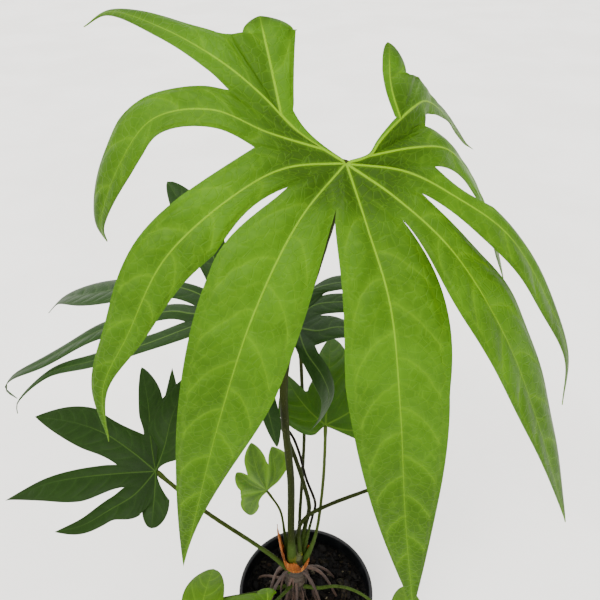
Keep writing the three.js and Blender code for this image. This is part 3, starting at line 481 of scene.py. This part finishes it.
def blade(leaf, fine, columns):
    sheet = Sheet(leaf, fine, columns)
    x, y, z = leaf_axes(leaf["turn"])
    points = np.array(sheet.points)
    lift = np.array([sum(r) / len(r) if r else 0 for r in sheet.relief])
    normals = vertex_normals(points, sheet.faces)
    upper = points + normals * lift[:, None]
    keel = np.array(sheet.keel)
    depth = BLADE_THICKNESS + KEEL_DEPTH * keel**1.2 * sheet.size**0.5
    lower = points + normals * (LOWER_RELIEF * lift - depth)[:, None]
    count = len(points)
    basis = np.array([x, y, z])
    world = np.concatenate([upper, lower]) @ basis + np.array(leaf["at"], float)
    faces = [list(f) for f in sheet.faces] + [[i + count for i in f[::-1]] for f in sheet.faces]
    shape = [c for f in sheet.shape for c in f] + [c for f in sheet.shape for c in f[::-1]]
    place = [(share, 0.0, free) for f in sheet.place for share, free in f]
    place += [(share, 1.0, free) for f in sheet.place for share, free in f[::-1]]
    used = {}
    for f, marks, places in zip(sheet.faces, sheet.shape, sheet.place):
        for n, i in enumerate(f):
            used[(f[n - 1], i)] = (marks[n - 1], marks[n], places[n - 1], places[n])
    for (i, j), (m, o, p, q) in list(used.items()):
        if (j, i) not in used:
            faces.append([i, i + count, j + count, j])
            shape += [m, m, o, o]
            place += [(p[0], 0.5, p[1])] * 2 + [(q[0], 0.5, q[1])] * 2
    ob = new_mesh("blade_" + leaf["name"], world, faces, MATERIALS["leaf_" + leaf["colour"]])
    store(ob, "leaf_shape", shape)
    store(ob, "leaf_place", place)
    return ob


# Meshes


def vertex_normals(points, faces):
    normals = np.zeros_like(points)
    for f in faces:
        a, b, c = points[f[0]], points[f[1]], points[f[2]]
        n = np.cross(b - a, c - a)
        if len(f) == 4:
            n = n + np.cross(c - a, points[f[3]] - a)
        for i in f:
            normals[i] += n
    return normals / np.maximum(np.linalg.norm(normals, axis=1), 1e-12)[:, None]


def new_object(name, data):
    ob = bpy.data.objects.new(name, data)
    bpy.context.scene.collection.objects.link(ob)
    return ob


def new_mesh(name, points_mm, faces, material, smooth=50):
    mesh = bpy.data.meshes.new(name)
    mesh.from_pydata((np.asarray(points_mm) / 1000).tolist(), [], faces)
    mesh.materials.append(material)
    ob = new_object(name, mesh)
    if smooth:
        bpy.context.view_layer.objects.active = ob
        ob.select_set(True)
        bpy.ops.object.shade_smooth_by_angle(angle=math.radians(smooth))
        ob.select_set(False)
    return ob


def store(ob, name, values, kind="FLOAT_VECTOR", domain="CORNER", key="vector"):
    data = ob.data.attributes.new(name, kind, domain)
    data.data.foreach_set(key, np.array(values, float).ravel())


def store_tone(ob, values):
    store(ob, "tone", values, "FLOAT", "FACE", "value")


def tube(line, radius_at, sides, steps, rough=0.0, seed=0.0, groove=0.0):
    """Points and faces of a closed round tube along a line. rough is the size of its bumps."""
    points, faces = [], []
    up = np.array([0.3, 0.9, 0.1])
    for i in range(steps + 1):
        s = line.length * i / steps
        centre = line.at(s)
        forward = unit(line.at(min(s + 1, line.length)) - line.at(max(s - 1, 0)))
        up = unit(up - forward * (up @ forward))
        side = np.cross(forward, up)
        for j in range(sides):
            angle = j / sides * 2 * math.pi
            out = side * math.cos(angle) + up * math.sin(angle)
            r = radius_at(i / steps) * (1 - groove * max(0, math.sin(angle)) ** 6)
            if rough:
                r += rough * noise.noise(Vector((centre + out * 2) / 4) + Vector((seed, 0, 0)))
            points.append(centre + out * r)
    for i in range(steps):
        for j in range(sides):
            a, b = i * sides + j, i * sides + (j + 1) % sides
            faces.append([a, b, b + sides, a + sides])
    faces.append(list(range(sides))[::-1])
    faces.append([steps * sides + j for j in range(sides)])
    return points, faces


def taper(start, end):
    return lambda share: start + (end - start) * share


def join(parts):
    points, faces = [], []
    for p, f in parts:
        faces += [[i + len(points) for i in face] for face in f]
        points += list(p)
    return points, faces


def lathe(outline, count, name, material, smooth=35):
    points, faces = [], []
    for i in range(count):
        angle = i / count * 2 * math.pi
        points += [(r * math.cos(angle), r * math.sin(angle), z) for r, z in outline[1:-1]]
    rings = len(outline) - 2
    low, high = len(points), len(points) + 1
    points += [(0, 0, outline[0][1]), (0, 0, outline[-1][1])]
    for i in range(count):
        a, b = i * rings, (i + 1) % count * rings
        faces += [[a + k, b + k, b + k + 1, a + k + 1] for k in range(rings - 1)]
        faces += [[low, b, a], [high, a + rings - 1, b + rings - 1]]
    return new_mesh(name, points, faces, material, smooth)


def dress(piece, slot, *nodes):
    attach(piece, "root")
    if nodes:
        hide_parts(*nodes)


# Materials


def srgb(*colour):
    lin = [c / 255 / 12.92 if c <= 10 else ((c / 255 + 0.055) / 1.055) ** 2.4 for c in colour]
    return (*lin, 1.0)


def operator(name):
    return lambda wire, other: wire.graph.math(name, wire, other)


class Wire:
    """A node's output, which can be reckoned with like a number."""

    def __init__(self, graph, socket):
        self.graph = graph
        self.socket = socket

    __add__ = operator("ADD")
    __sub__ = operator("SUBTRACT")
    __mul__ = operator("MULTIPLY")
    __truediv__ = operator("DIVIDE")
    __pow__ = operator("POWER")

    def __rsub__(self, other):
        return self.graph.math("SUBTRACT", other, self)

    def __abs__(self):
        return self.graph.math("ABSOLUTE", self)


class Graph:
    """A material's nodes. Values are numbers, colours, wires or other nodes' outputs."""

    def __init__(self, name):
        self.material = bpy.data.materials.new(name)
        self.material.use_nodes = True
        self.tree = self.material.node_tree
        self.shader = self.tree.nodes["Principled BSDF"]

    def put(self, socket, value):
        value = getattr(value, "socket", value)
        if isinstance(value, bpy.types.NodeSocket):
            self.tree.links.new(value, socket)
        else:
            socket.default_value = value

    def node(self, kind, inputs=(), **settings):
        made = self.tree.nodes.new("ShaderNode" + kind)
        for key, value in settings.items():
            setattr(made, key, value)
        for key, value in dict(inputs).items():
            self.put(made.inputs[key], value)
        return made

    def wire(self, *node, out=0, **settings):
        return Wire(self, self.node(*node, **settings).outputs[out])

    def math(self, operation, a, b=0.0):
        return self.wire("Math", {0: a, 1: b}, operation=operation)

    def largest(self, a, b):
        return self.math("MAXIMUM", a, b)

    def zigzag(self, value):
        """0 at every whole number and 1 halfway between two."""
        return self.math("PINGPONG", value, 0.5) * 2.0

    def mix(self, share, a, b, blend="MIX"):
        return self.wire("Mix", {0: share, 6: a, 7: b}, out=2, data_type="RGBA", blend_type=blend)

    def fade(self, value, low, high, to_low=0.0, to_high=1.0):
        """value between low and high, turned smoothly into to_low to to_high."""
        inputs = dict(enumerate((value, low, high, to_low, to_high)))
        return self.wire("MapRange", inputs, interpolation_type="SMOOTHSTEP")

    def noise(self, scale, detail=4.0, stretch=(1, 1, 1)):
        place = self.node("TexCoord").outputs["Object"]
        if stretch != (1, 1, 1):
            place = self.node("Mapping", {"Vector": place, "Scale": stretch}).outputs[0]
        return self.wire("TexNoise", {"Vector": place, "Scale": scale, "Detail": detail})

    def stored(self, name):
        """The three numbers of a vector that is stored at the mesh's corners."""
        vector = self.wire("Attribute", out="Vector", attribute_name=name)
        return [Wire(self, out) for out in self.node("SeparateXYZ", {0: vector}).outputs[:3]]

    def height(self):
        place = self.node("TexCoord").outputs["Object"]
        return self.wire("SeparateXYZ", {0: place}, out=2)

    def bump(self, height, distance, strength=0.6, under=None):
        inputs = {"Height": height, "Distance": distance, "Strength": strength}
        if under:
            inputs["Normal"] = under
        return self.wire("Bump", inputs)

    def finish(self, **inputs):
        for key, value in inputs.items():
            self.put(self.shader.inputs[key.replace("_", " ")], value)
        return self.material


NET_SCALE = 0.25
RIB_END = 0.3
HALO = 0.2


def leaf_material(name, look):
    g = Graph(name)
    along, across, span = g.stored("leaf_shape")
    share, under, free = g.stored("leaf_place")
    spacing, vein_mm, rib_mm = look["spacing"], look["vein_mm"], look["rib_mm"]
    off_rib = abs(across)
    out = off_rib / g.largest(span, 0.5)
    # side veins leave the midrib at an angle and bend forward, by turns on its two sides
    slant = off_rib * off_rib / g.largest(span, 6.0) * 1.25 + off_rib * 0.1
    count = (along - slant) / spacing + g.math("LESS_THAN", across, 0.0) * 0.5
    count = count + g.noise(38, 3.0) * 0.4 - 0.2
    off_vein, off_small = g.zigzag(count), g.zigzag(count * 2.0)
    wide = g.fade(span, 4.0, 11.0) * (free * 0.6 + 0.4)
    inner = g.fade(out, 0.74, 0.9, 1.0, 0.0) * wide
    line = g.fade(off_vein * (spacing / 2), 0.1, vein_mm, 1.0, 0.0)
    small = g.fade(off_small * (spacing / 4), 0.0, vein_mm, 0.45, 0.0)
    line = g.largest(line, small) * inner
    halo = g.fade(off_vein, 0.0, 0.45, 1.0, 0.0) * inner
    loop = abs((out - (off_vein * 0.1 + 0.78)) * span)
    loop = g.fade(loop, 0.1, vein_mm, 1.0, 0.0) * wide * free
    # the fine net between the veins
    flat = g.node("CombineXYZ", {0: along, 1: across}).outputs[0]
    inputs = {"Vector": flat, "Scale": NET_SCALE}
    cells = g.wire("TexVoronoi", inputs, out="Distance", feature="DISTANCE_TO_EDGE")
    net = g.fade(cells, 0.0, 0.1, 1.0, 0.0)
    # the midrib, widest at the leaf's centre and lost in the blade towards the tip
    width = (1.0 - share) ** 1.3 * rib_mm + rib_mm * 0.25
    width = width * (under * 0.6 + 1.0)
    rib = g.fade(off_rib / width, 0.5, 1.3, 1.0, 0.0) * g.fade(share, 0.35, 0.8, 1.0, RIB_END)
    glow = g.fade(off_rib, 0.0, rib_mm * 4, 1.0, 0.0)
    # colours
    tint = g.mix(g.fade(g.noise(24, 3.0), 0.35, 0.65, 0.0, 0.45), look["base"], look["deep"])
    tint = g.mix(g.fade(g.noise(150, 5.0), 0.4, 0.7) * 0.2, tint, look["pale"])
    tint = g.mix(free * look["web"], look["deep"], tint)
    tint = g.mix(g.fade(share, 0.45, 1.0, 0.0, look["tip"]), tint, look["deep"])
    tint = g.mix(g.fade(out, 0.3, 1.0) * look["rim"], tint, look["pale"])
    tint = g.mix(g.largest(halo, glow) * HALO, tint, look["pale"])
    tint = g.mix(net * look["fine"], tint, look["pale"])
    tint = g.mix(loop * (look["vein"] * 0.45), tint, look["rib"])
    tint = g.mix(line * look["vein"], tint, look["rib"])
    tint = g.mix(rib * look["rib_share"], tint, look["rib"])
    below = g.mix(rib, g.mix(line * 0.4, look["under"], look["rib"]), look["rib"])
    tint = g.mix(under, tint, below)
    rough = g.noise(90, 3.0) * 0.14 + look["rough"] + under * 0.2
    panels = (off_vein + off_small * 0.3) * inner - net * 0.2
    normal = g.bump(panels, look["bump"], 0.7, g.bump(g.noise(900, 3.0), 0.0001, 0.4))
    normal = g.bump(rib, 0.0004, 0.5, normal)
    return g.finish(
        Base_Color=tint, Roughness=rough, Normal=normal, Specular_IOR_Level=look["shine"],
        Subsurface_Weight=look["soft"], Subsurface_Radius=(0.6, 1.0, 0.3), Subsurface_Scale=0.0012,
    )


def stalk_material(name, low, middle, high, top_z, rough=0.55):
    g = Graph(name)
    wander = g.noise(40, 3.0) * 0.03 + g.height()
    tint = g.mix(g.fade(wander, 0.168, 0.182), low, srgb(43, 59, 18))
    tint = g.mix(g.fade(wander, 0.19, 0.215), tint, middle)
    tint = g.mix(g.fade(wander, 0.22, top_z), tint, high)
    streak = g.noise(260, 4.0, (1, 1, 0.06))
    dark = g.mix(1.0, tint, srgb(150, 130, 110), "MULTIPLY")
    tint = g.mix(g.fade(streak, 0.45, 0.7) * 0.45, tint, dark)
    specks = g.fade(g.noise(900, 2.0), 0.62, 0.7)
    tint = g.mix(specks * 0.3, tint, srgb(100, 100, 62))
    roughness = g.noise(150, 3.0) * 0.15 + rough
    normal = g.bump(streak, 0.0003, 0.5)
    return g.finish(Base_Color=tint, Roughness=roughness, Normal=normal, Specular_IOR_Level=0.05)


def pot_material():
    g = Graph("pot_plastic")
    dust = g.fade(g.noise(70, 6.0), 0.45, 0.75)
    scuffs = g.fade(g.noise(420, 3.0, (1, 1, 0.15)), 0.6, 0.8)
    tint = g.mix(dust * 0.35, srgb(5, 6, 7), srgb(21, 22, 24))
    tint = g.mix(scuffs * 0.3, tint, srgb(40, 40, 42))
    rough = dust * 0.2 + 0.34
    bumps = g.bump(g.noise(1200, 2.0), 0.00006, 0.5)
    return g.finish(Base_Color=tint, Roughness=rough, Normal=bumps, Specular_IOR_Level=0.25)


BARK_TONES = (
    (0.3, (7, 5, 3)),
    (0.6, (14, 9, 4)),
    (0.8, (28, 19, 10)),
    (0.9, (26, 26, 13)),
    (0.955, (50, 42, 29)),
)


def mix_material():
    g = Graph("bark_mix")
    tone = g.node("Attribute", attribute_name="tone").outputs["Fac"]
    ramp = g.node("ValToRGB", {0: tone})
    stops = ramp.color_ramp.elements
    stops[0].color = srgb(3, 2, 1)
    stops[1].color = srgb(116, 109, 88)
    for at, colour in BARK_TONES:
        stops.new(at).color = srgb(*colour)
    grain = g.noise(500, 5.0, (1, 1, 0.4))
    dark = g.mix(1.0, ramp.outputs[0], srgb(90, 84, 80), "MULTIPLY")
    tint = g.mix(g.fade(grain, 0.4, 0.6), dark, ramp.outputs[0])
    bumps = g.bump(grain, 0.0008, 0.8)
    rough = g.fade(g.noise(60, 2.0), 0.3, 0.7, 0.55, 0.95)
    return g.finish(Base_Color=tint, Roughness=rough, Normal=bumps, Specular_IOR_Level=0.1)


def crown_material():
    g = Graph("crown_bark")
    rings = g.noise(90, 4.0, (0.3, 0.3, 1.6))
    tint = g.mix(g.fade(rings, 0.4, 0.6), srgb(30, 21, 13), srgb(48, 38, 23))
    tint = g.mix(g.fade(g.height(), 0.14, 0.17), tint, srgb(58, 66, 22))
    return g.finish(Base_Color=tint, Roughness=0.75, Normal=g.bump(rings, 0.0012, 0.8))


def root_material():
    g = Graph("aerial_roots")
    tint = g.mix(g.fade(g.noise(60, 4.0), 0.35, 0.65), srgb(36, 22, 15), srgb(58, 39, 27))
    tint = g.mix(g.fade(g.noise(300, 5.0), 0.55, 0.7), tint, srgb(24, 14, 9))
    return g.finish(Base_Color=tint, Roughness=0.8, Normal=g.bump(g.noise(800, 4.0), 0.0003, 0.7))


def paper_material():
    g = Graph("dry_sheath")
    fibre = g.noise(420, 5.0, (1, 1, 0.05))
    tint = g.mix(g.fade(g.noise(70, 3.0), 0.35, 0.65), srgb(112, 60, 18), srgb(78, 40, 14))
    tint = g.mix(g.fade(fibre, 0.5, 0.7), tint, srgb(150, 94, 40))
    return g.finish(
        Base_Color=tint, Roughness=0.7, Normal=g.bump(fibre, 0.0006, 0.8), Specular_IOR_Level=0.1,
        Subsurface_Weight=0.25, Subsurface_Radius=(1.0, 0.5, 0.2), Subsurface_Scale=0.002,
    )


def floor_material():
    g = Graph("plaster_floor")
    patches = g.noise(3, 5.0)
    tint = g.mix(g.fade(patches, 0.4, 0.6), srgb(248, 246, 242), srgb(242, 240, 236))
    bumps = g.bump(g.noise(16, 8.0), 0.006, 0.25)
    return g.finish(Base_Color=tint, Roughness=0.85, Normal=bumps)


LOOK = {
    "spacing": 14, "vein_mm": 0.6, "rib_mm": 0.6, "vein": 0.22, "rib_share": 0.85, "fine": 0.1,
    "web": 0.7, "tip": 0.3, "rim": 0.0, "rough": 0.4, "shine": 0.15, "soft": 0.1, "bump": 0.0004,
    "puff": 0.35, "ridge": 0.3, "ripple": 0.5,
}


def look(base, deep, pale, rib, under, **more):
    """A leaf's colours, with how its veins, relief and surface differ from those of LOOK."""
    tones = {"base": base, "deep": deep, "pale": pale, "rib": rib, "under": under}
    return {**LOOK, **{key: srgb(*tone) for key, tone in tones.items()}, **more}


LOOKS = {
    "bright": look(
        (60, 99, 4), (37, 63, 0), (86, 130, 10), (112, 152, 2), (72, 102, 34), shine=0.08, spacing=26,
        rib_mm=0.65, vein_mm=1.3, vein=0.12, fine=0.16, web=1.0, tip=0.85, bump=0.001,
        puff=1.1, ridge=0.4, ripple=0.8,
    ),
    "dark": look((29, 53, 14), (21, 42, 10), (42, 66, 24), (66, 92, 36), (48, 66, 36), shine=0.08),
    "low": look(
        (21, 42, 4), (15, 34, 2), (32, 56, 14), (58, 84, 24), (38, 58, 24), shine=0.07, rough=0.45,
        vein=0.08, rib_mm=0.45, rib_share=0.5, fine=0.03, web=1.0,
    ),
    "young": look(
        (44, 78, 0), (34, 64, 0), (56, 90, 6), (84, 116, 20), (60, 90, 20), soft=0.3, rib_share=0.4,
        puff=0.3, ridge=0.25, ripple=0.4,
    ),
    "pale": look(
        (48, 78, 4), (38, 64, 2), (78, 112, 18), (84, 112, 26), (60, 90, 20), soft=0.3, rib_share=0.15,
        rim=0.8, puff=0.25, ridge=0.2, ripple=0.3,
    ),
    "fresh": look(
        (62, 94, 2), (46, 74, 0), (80, 120, 8), (100, 136, 14), (66, 96, 20), rib_share=0.6,
        puff=0.3, ridge=0.25, ripple=0.4,
    ),
}
cream, moss = srgb(128, 122, 34), srgb(43, 59, 18)
MATERIALS = {"leaf_" + key: leaf_material("leaf_" + key, value) for key, value in LOOKS.items()}
MATERIALS["olive"] = stalk_material("stalk_olive", cream, srgb(24, 32, 3), srgb(42, 49, 10), 0.5)
# painted shade: this stalk's near-black middle and top stand for the shadow it stands in, not for its own
# colour
MATERIALS["dark"] = stalk_material("stalk_dark", moss, srgb(7, 6, 3), srgb(18, 18, 8), 0.4)
MATERIALS["green"] = stalk_material("stalk_green", moss, srgb(37, 48, 8), srgb(52, 67, 20), 0.3)

# Leaves and their stalks


def stalk(leaf):
    x, y, z = leaf_axes(leaf["turn"])
    foot, above, top = leaf["stalk"]
    line = Line(leaf["petiole"] + [list(np.array(leaf["at"]) - z * 0.9 * top)])

    def radius(share):
        sheath = max(0, 1 - share * line.length / STALK_FOOT)
        knee = math.exp(-(((1 - share) * line.length - 4) / 4) ** 2)
        return above + (top - above) * share + (foot - above) * sheath**1.5 + 0.3 * top * knee

    parts = tube(line, radius, 20, max(24, int(line.length / 2.5)), 0.12, leaf["at"][0], 0.2)
    return new_mesh("stalk_" + leaf["name"], *parts, MATERIALS[leaf["stalk_look"]])


for plan in LEAVES:
    fine = 5 if plan["rows"][1] >= 8 else 6
    columns = 14 if plan["name"] == "main" else 9
    dress(blade(plan, fine, columns), "leaf_" + plan["colour"], "leaf_" + plan["name"])
    dress(stalk(plan), "petiole_" + plan["stalk_look"], "petiole_" + plan["name"])

# Pot


def make_pot():
    body = POT["rim"] - POT["lip"]
    shoulder = POT["height"] - POT["lip_height"]
    top, rim, base = POT["height"], POT["rim"], POT["base"]
    outline = [
        (0, 0), (base - 3, 0), (base - 1, 0.3), (base - 0.3, 1), (base, 2),
        (body - 0.3, shoulder - 0.6), (body + 0.2, shoulder - 0.1), (rim - 0.9, shoulder),
        (rim - 0.3, shoulder + 0.3), (rim, shoulder + 1), (rim, top - 1.2), (rim - 0.3, top - 0.4),
        (rim - 1, top), (body + 0.3, top), (body - 0.6, top - 0.4), (body - 1, top - 1.2),
        (body - 1.1, shoulder - 4), (body - POT["wall"], shoulder - 6), (base - POT["wall"], 3),
        (base - POT["wall"] - 1, 2), (0, 2),
    ]
    pot = lathe(outline, 144, "nursery_pot", pot_material(), 40)
    for i in range(DRAIN["count"]):
        angle = (i + 0.5) / DRAIN["count"] * 2 * math.pi
        x, y = DRAIN["ring"] * math.cos(angle), DRAIN["ring"] * math.sin(angle)
        hole = tube(Line([(x, y, -2), (x, y, 5)]), taper(DRAIN["radius"], DRAIN["radius"]), 24, 2)
        bore = new_mesh("bore", *hole, None)
        cut = pot.modifiers.new("drain", "BOOLEAN")
        cut.object = bore
        cut.operation = "DIFFERENCE"
        bpy.context.view_layer.objects.active = pot
        bpy.ops.object.modifier_apply(modifier=cut.name)
        bpy.data.objects.remove(bore)
    return pot


dress(make_pot(), "pot", "pot")

# Potting mix: a rough bed with bark chips, fibre and a few pale grains on it


def inside_radius(z):
    shoulder = POT["height"] - POT["lip_height"] - 6
    inner = POT["base"] - POT["wall"]
    return inner + (POT["rim"] - POT["lip"] - POT["base"]) * (z - 2) / (shoulder - 2)


def chip(chance, centre, size, flat):
    """A broken piece of bark: a ball with its sides cut flat at random."""
    cuts = [unit(np.array([chance.gauss(0, 1) for _ in range(3)])) for _ in range(9)]
    depth = [chance.uniform(0.45, 0.85) for _ in cuts]
    stretch = np.array([chance.uniform(0.8, 1.5), chance.uniform(0.6, 1), flat])
    turn = chance.uniform(0, 2 * math.pi)
    lean = [chance.uniform(-0.5, 0.5) for _ in range(2)]
    points = []
    for v in BALL[0]:
        reach = min([1.0] + [d / max(float(v @ n), 1e-6) for n, d in zip(cuts, depth) if v @ n > 0])
        p = v * reach * stretch * size
        x = p[0] * math.cos(turn) - p[1] * math.sin(turn)
        y = p[0] * math.sin(turn) + p[1] * math.cos(turn)
        points.append(centre + np.array([x, y, p[2] + x * lean[0] + y * lean[1]]))
    return points, BALL[1]


def ball(detail):
    bpy.ops.mesh.primitive_ico_sphere_add(subdivisions=detail, radius=1)
    ob = bpy.context.active_object
    points = [np.array(v.co) for v in ob.data.vertices]
    faces = [list(p.vertices) for p in ob.data.polygons]
    bpy.data.objects.remove(ob)
    return points, faces


BALL = ball(2)


def bed_height(r):
    reach = inside_radius(MIX_SURFACE)
    return MIX_SURFACE + MIX_DOME - 1.5 * min(1, r / (reach * 0.5)) - 1.5 * max(0, r / reach - 0.5) * 2


def make_mix():
    reach = inside_radius(MIX_SURFACE) - MIX_GAP
    low = inside_radius(4) - MIX_GAP
    outline = [(0, MIX_BOTTOM), (low - 1, MIX_BOTTOM), (low, 4)]
    outline += [(inside_radius(MIX_EDGE) - MIX_GAP, MIX_EDGE)]
    radii = [reach * (1 - i / 40) for i in range(40)] + [0]
    outline += [(r, bed_height(r) - 1.5) for r in radii]
    bed = lathe(outline, 160, "mix_bed", MATERIALS["mix"], 0)
    for v in bed.data.vertices:
        if v.co.z * 1000 > MIX_EDGE + 0.5:
            r = math.hypot(v.co.x, v.co.y) * 1000
            calm = min(1, (reach - r) / 3)
            v.co.z += 0.0022 * noise.fractal(v.co * 150, 1, 2, 4) * calm
    chance = random.Random(5)
    store_tone(bed, [chance.uniform(0.12, 0.32) for _ in bed.data.polygons])
    parts, tones = [], []
    for i in range(CHIPS["count"]):
        small = i >= CHIPS["large"]
        size = chance.uniform(1, 2.1) if small else chance.uniform(2.4, 5.2)
        r = math.sqrt(chance.random()) * (reach - 1 - size * 1.2)
        angle = chance.uniform(0, 2 * math.pi)
        z = bed_height(r) + chance.uniform(-0.9, 0.6) + (0.4 if small else 0)
        centre = np.array([r * math.cos(angle), r * math.sin(angle), z])
        pale = chance.random() > 0.955
        tone = 0.97 if pale else chance.uniform(0.02, 0.93)
        if pale:
            size *= 0.6
        points, faces = chip(chance, centre, size, chance.uniform(0.35, 0.8))
        parts.append((points, faces))
        tones += [tone] * len(faces)
    for i in range(CHIPS["fibres"]):
        angle, r = chance.uniform(0, 6.28), math.sqrt(chance.random()) * (reach - 9)
        start = np.array([r * math.cos(angle), r * math.sin(angle), bed_height(r) + 1])
        turn = chance.uniform(0, 6.28)
        ahead = np.array([math.cos(turn), math.sin(turn), 0]) * chance.uniform(4, 9)
        inward = -unit(start * [1, 1, 0]) * 2
        line = Line([start, start + ahead * 0.5 + [0, 0, 2.2] + inward, start + ahead * 0.9 + inward * 2])
        points, faces = tube(line, taper(0.22, 0.22), 5, 8)
        parts.append((points, faces))
        tones += [chance.uniform(0.55, 0.85)] * len(faces)
    chips = new_mesh("mix_chips", *join(parts), MATERIALS["mix"], 20)
    store_tone(chips, tones)
    return bed, chips


MATERIALS["mix"] = mix_material()
bed, chips = make_mix()
dress(bed, "potting_mix", "potting_mix")
dress(chips, "potting_mix", "potting_mix")

# Stem, aerial roots and the dry sheath


def seeded(seed):
    state = seed
    while True:
        state = state * 16807 % 2147483647
        yield state / 2147483647


def from_stem(angle, r, z):
    return CROWN["x"] + r * math.cos(angle), CROWN["y"] + r * math.sin(angle), z


def between(ends, share):
    return ends[0] + share * (ends[1] - ends[0])


def root_lines():
    draw = seeded(ROOTS["seed"])
    for i in range(ROOTS["count"]):
        angle = (i + next(draw) * 0.6) / ROOTS["count"] * 2 * math.pi
        start = between(ROOT_START, next(draw))
        reach = between(ROOT_REACH, next(draw))
        arch = (start - MIX_SURFACE) * (0.72 + next(draw) * 0.2)
        corners = [(4, start), (reach * 0.55, MIX_SURFACE + arch)]
        corners += [(reach, MIX_SURFACE + 4), (reach + 3, ROOTS["end"])]
        yield [from_stem(angle, r, z) for r, z in corners]


def make_crown():
    height = CROWN["top"] - CROWN["foot"]
    line = Line([(CROWN["x"], CROWN["y"], CROWN["foot"] + height * s) for s in (0, 0.5, 1)])

    def radius(share):
        swell = CROWN["radius"] * (0.86 + 0.14 * math.sin(share * math.pi)) - max(0, share - 0.7) * 9
        return swell - 0.5 + 0.45 * math.sin(share * height * 0.9)

    return new_mesh("stem", *tube(line, radius, 48, 120, 1.2), crown_material())


def make_roots():
    chance = random.Random(3)
    parts = []
    for n, points in enumerate(root_lines()):
        radius = taper(ROOTS["radius"], ROOTS["tip"])
        parts.append(tube(Line(points), radius, 12, 44, 0.4, n * 7.1))
    for n in range(THIN_ROOTS):
        angle = chance.uniform(0, 2 * math.pi)
        start = chance.uniform(100, 146)
        reach = chance.uniform(13, 26)
        turn = angle + chance.uniform(-0.5, 0.5)
        middle = MIX_SURFACE + (start - MIX_SURFACE) * chance.uniform(0.5, 0.85)
        points = [from_stem(angle, 5, start), from_stem(angle, reach * 0.6, middle)]
        points += [from_stem(turn, reach, MIX_SURFACE + 1), from_stem(turn, reach + 1, 86)]
        thick = chance.uniform(0.5, 1)
        parts.append(tube(Line(points), taper(thick, thick * 0.7), 10, 36, 0.35, n * 3.3 + 50))
    return new_mesh("aerial_roots", *join(parts), root_material())


def make_sheath():
    around, rings = 150, 26
    inner = CROWN["radius"] + GAP
    points = []
    for outer in (0, 1):
        for i in range(around):
            angle = i / around * 2 * math.pi
            ragged = SHEATH["ragged"] * math.sin(angle * 3 + 1) + SHEATH["frayed"] * math.sin(angle * 7)
            turned = angle - SHEATH_POINT["angle"]
            away = abs(math.atan2(math.sin(turned), math.cos(turned)))
            tall = SHEATH["height"] + ragged
            tall += SHEATH_POINT["height"] * max(0, 1 - away / SHEATH_POINT["width"])
            tall += 1.6 * noise.noise(Vector((angle * 9, 0, 0)))
            tall += 0.9 * noise.noise(Vector((angle * 31, 5, 0)))
            for k in range(rings + 1):
                share = k / rings
                r = inner + outer * 0.5 + math.sin(share * 2.5) + share * (tall / 14)
                r += 0.7 * noise.noise(Vector((angle * 4, share * 3, 2)))
                r += 0.25 * math.sin(angle * 34) * share
                points.append(from_stem(angle, r, SHEATH["bottom"] + tall * share))

    def at(outer, i, k):
        return (outer * around + i % around) * (rings + 1) + k

    faces = []
    for i in range(around):
        for k in range(rings):
            faces.append([at(1, i, k), at(1, i + 1, k), at(1, i + 1, k + 1), at(1, i, k + 1)])
            faces.append([at(0, i + 1, k), at(0, i, k), at(0, i, k + 1), at(0, i + 1, k + 1)])
        faces.append([at(0, i, 0), at(0, i + 1, 0), at(1, i + 1, 0), at(1, i, 0)])
        faces.append([at(1, i, rings), at(1, i + 1, rings), at(0, i + 1, rings), at(0, i, rings)])
    return new_mesh("dry_sheath", points, faces, paper_material())


dress(make_crown(), "crown", "crown_and_roots")
dress(make_roots(), "crown", "crown_and_roots")
dress(make_sheath(), "papery_sheath", "papery_sheath")

# Floor, light and the photo's camera

FLOOR_REACH = 6000
corners = [(x * FLOOR_REACH, y * FLOOR_REACH, 0) for x, y in ((-1, -1), (1, -1), (1, 1), (-1, 1))]
floor = new_mesh("floor", corners, [[0, 1, 2, 3]], floor_material(), 0)


def sun(name, toward, strength, spread, colour):
    data = bpy.data.lights.new(name, "SUN")
    data.energy = strength
    data.angle = math.radians(spread)
    data.color = colour
    lamp = new_object(name, data)
    lamp.rotation_euler = Vector(toward).to_track_quat("-Z", "Y").to_euler()


sun("window", (0.5, 0.75, -0.85), 4.9, 50, (1.0, 0.99, 0.97))
sun("fill", (-0.8, 0.7, -0.7), 1.0, 60, (1.0, 0.99, 0.97))
sun("rear", (0.1, -0.6, -0.8), 2.5, 80, (1.0, 1.0, 1.0))
world = bpy.data.worlds.new("soft_room")
world.use_nodes = True
world.node_tree.nodes["Background"].inputs[0].default_value = (1.0, 0.995, 0.98, 1)
world.node_tree.nodes["Background"].inputs[1].default_value = 1.1
bpy.context.scene.world = world

camera_data = bpy.data.cameras.new("camera")
camera_data.lens = 36
camera_data.sensor_width = 36
camera_data.clip_end = 50
camera = new_object("camera", camera_data)
camera.location = (-0.0053, -0.285, 0.633)
camera.rotation_euler = (math.radians(54), 0, 0)
bpy.context.scene.camera = camera
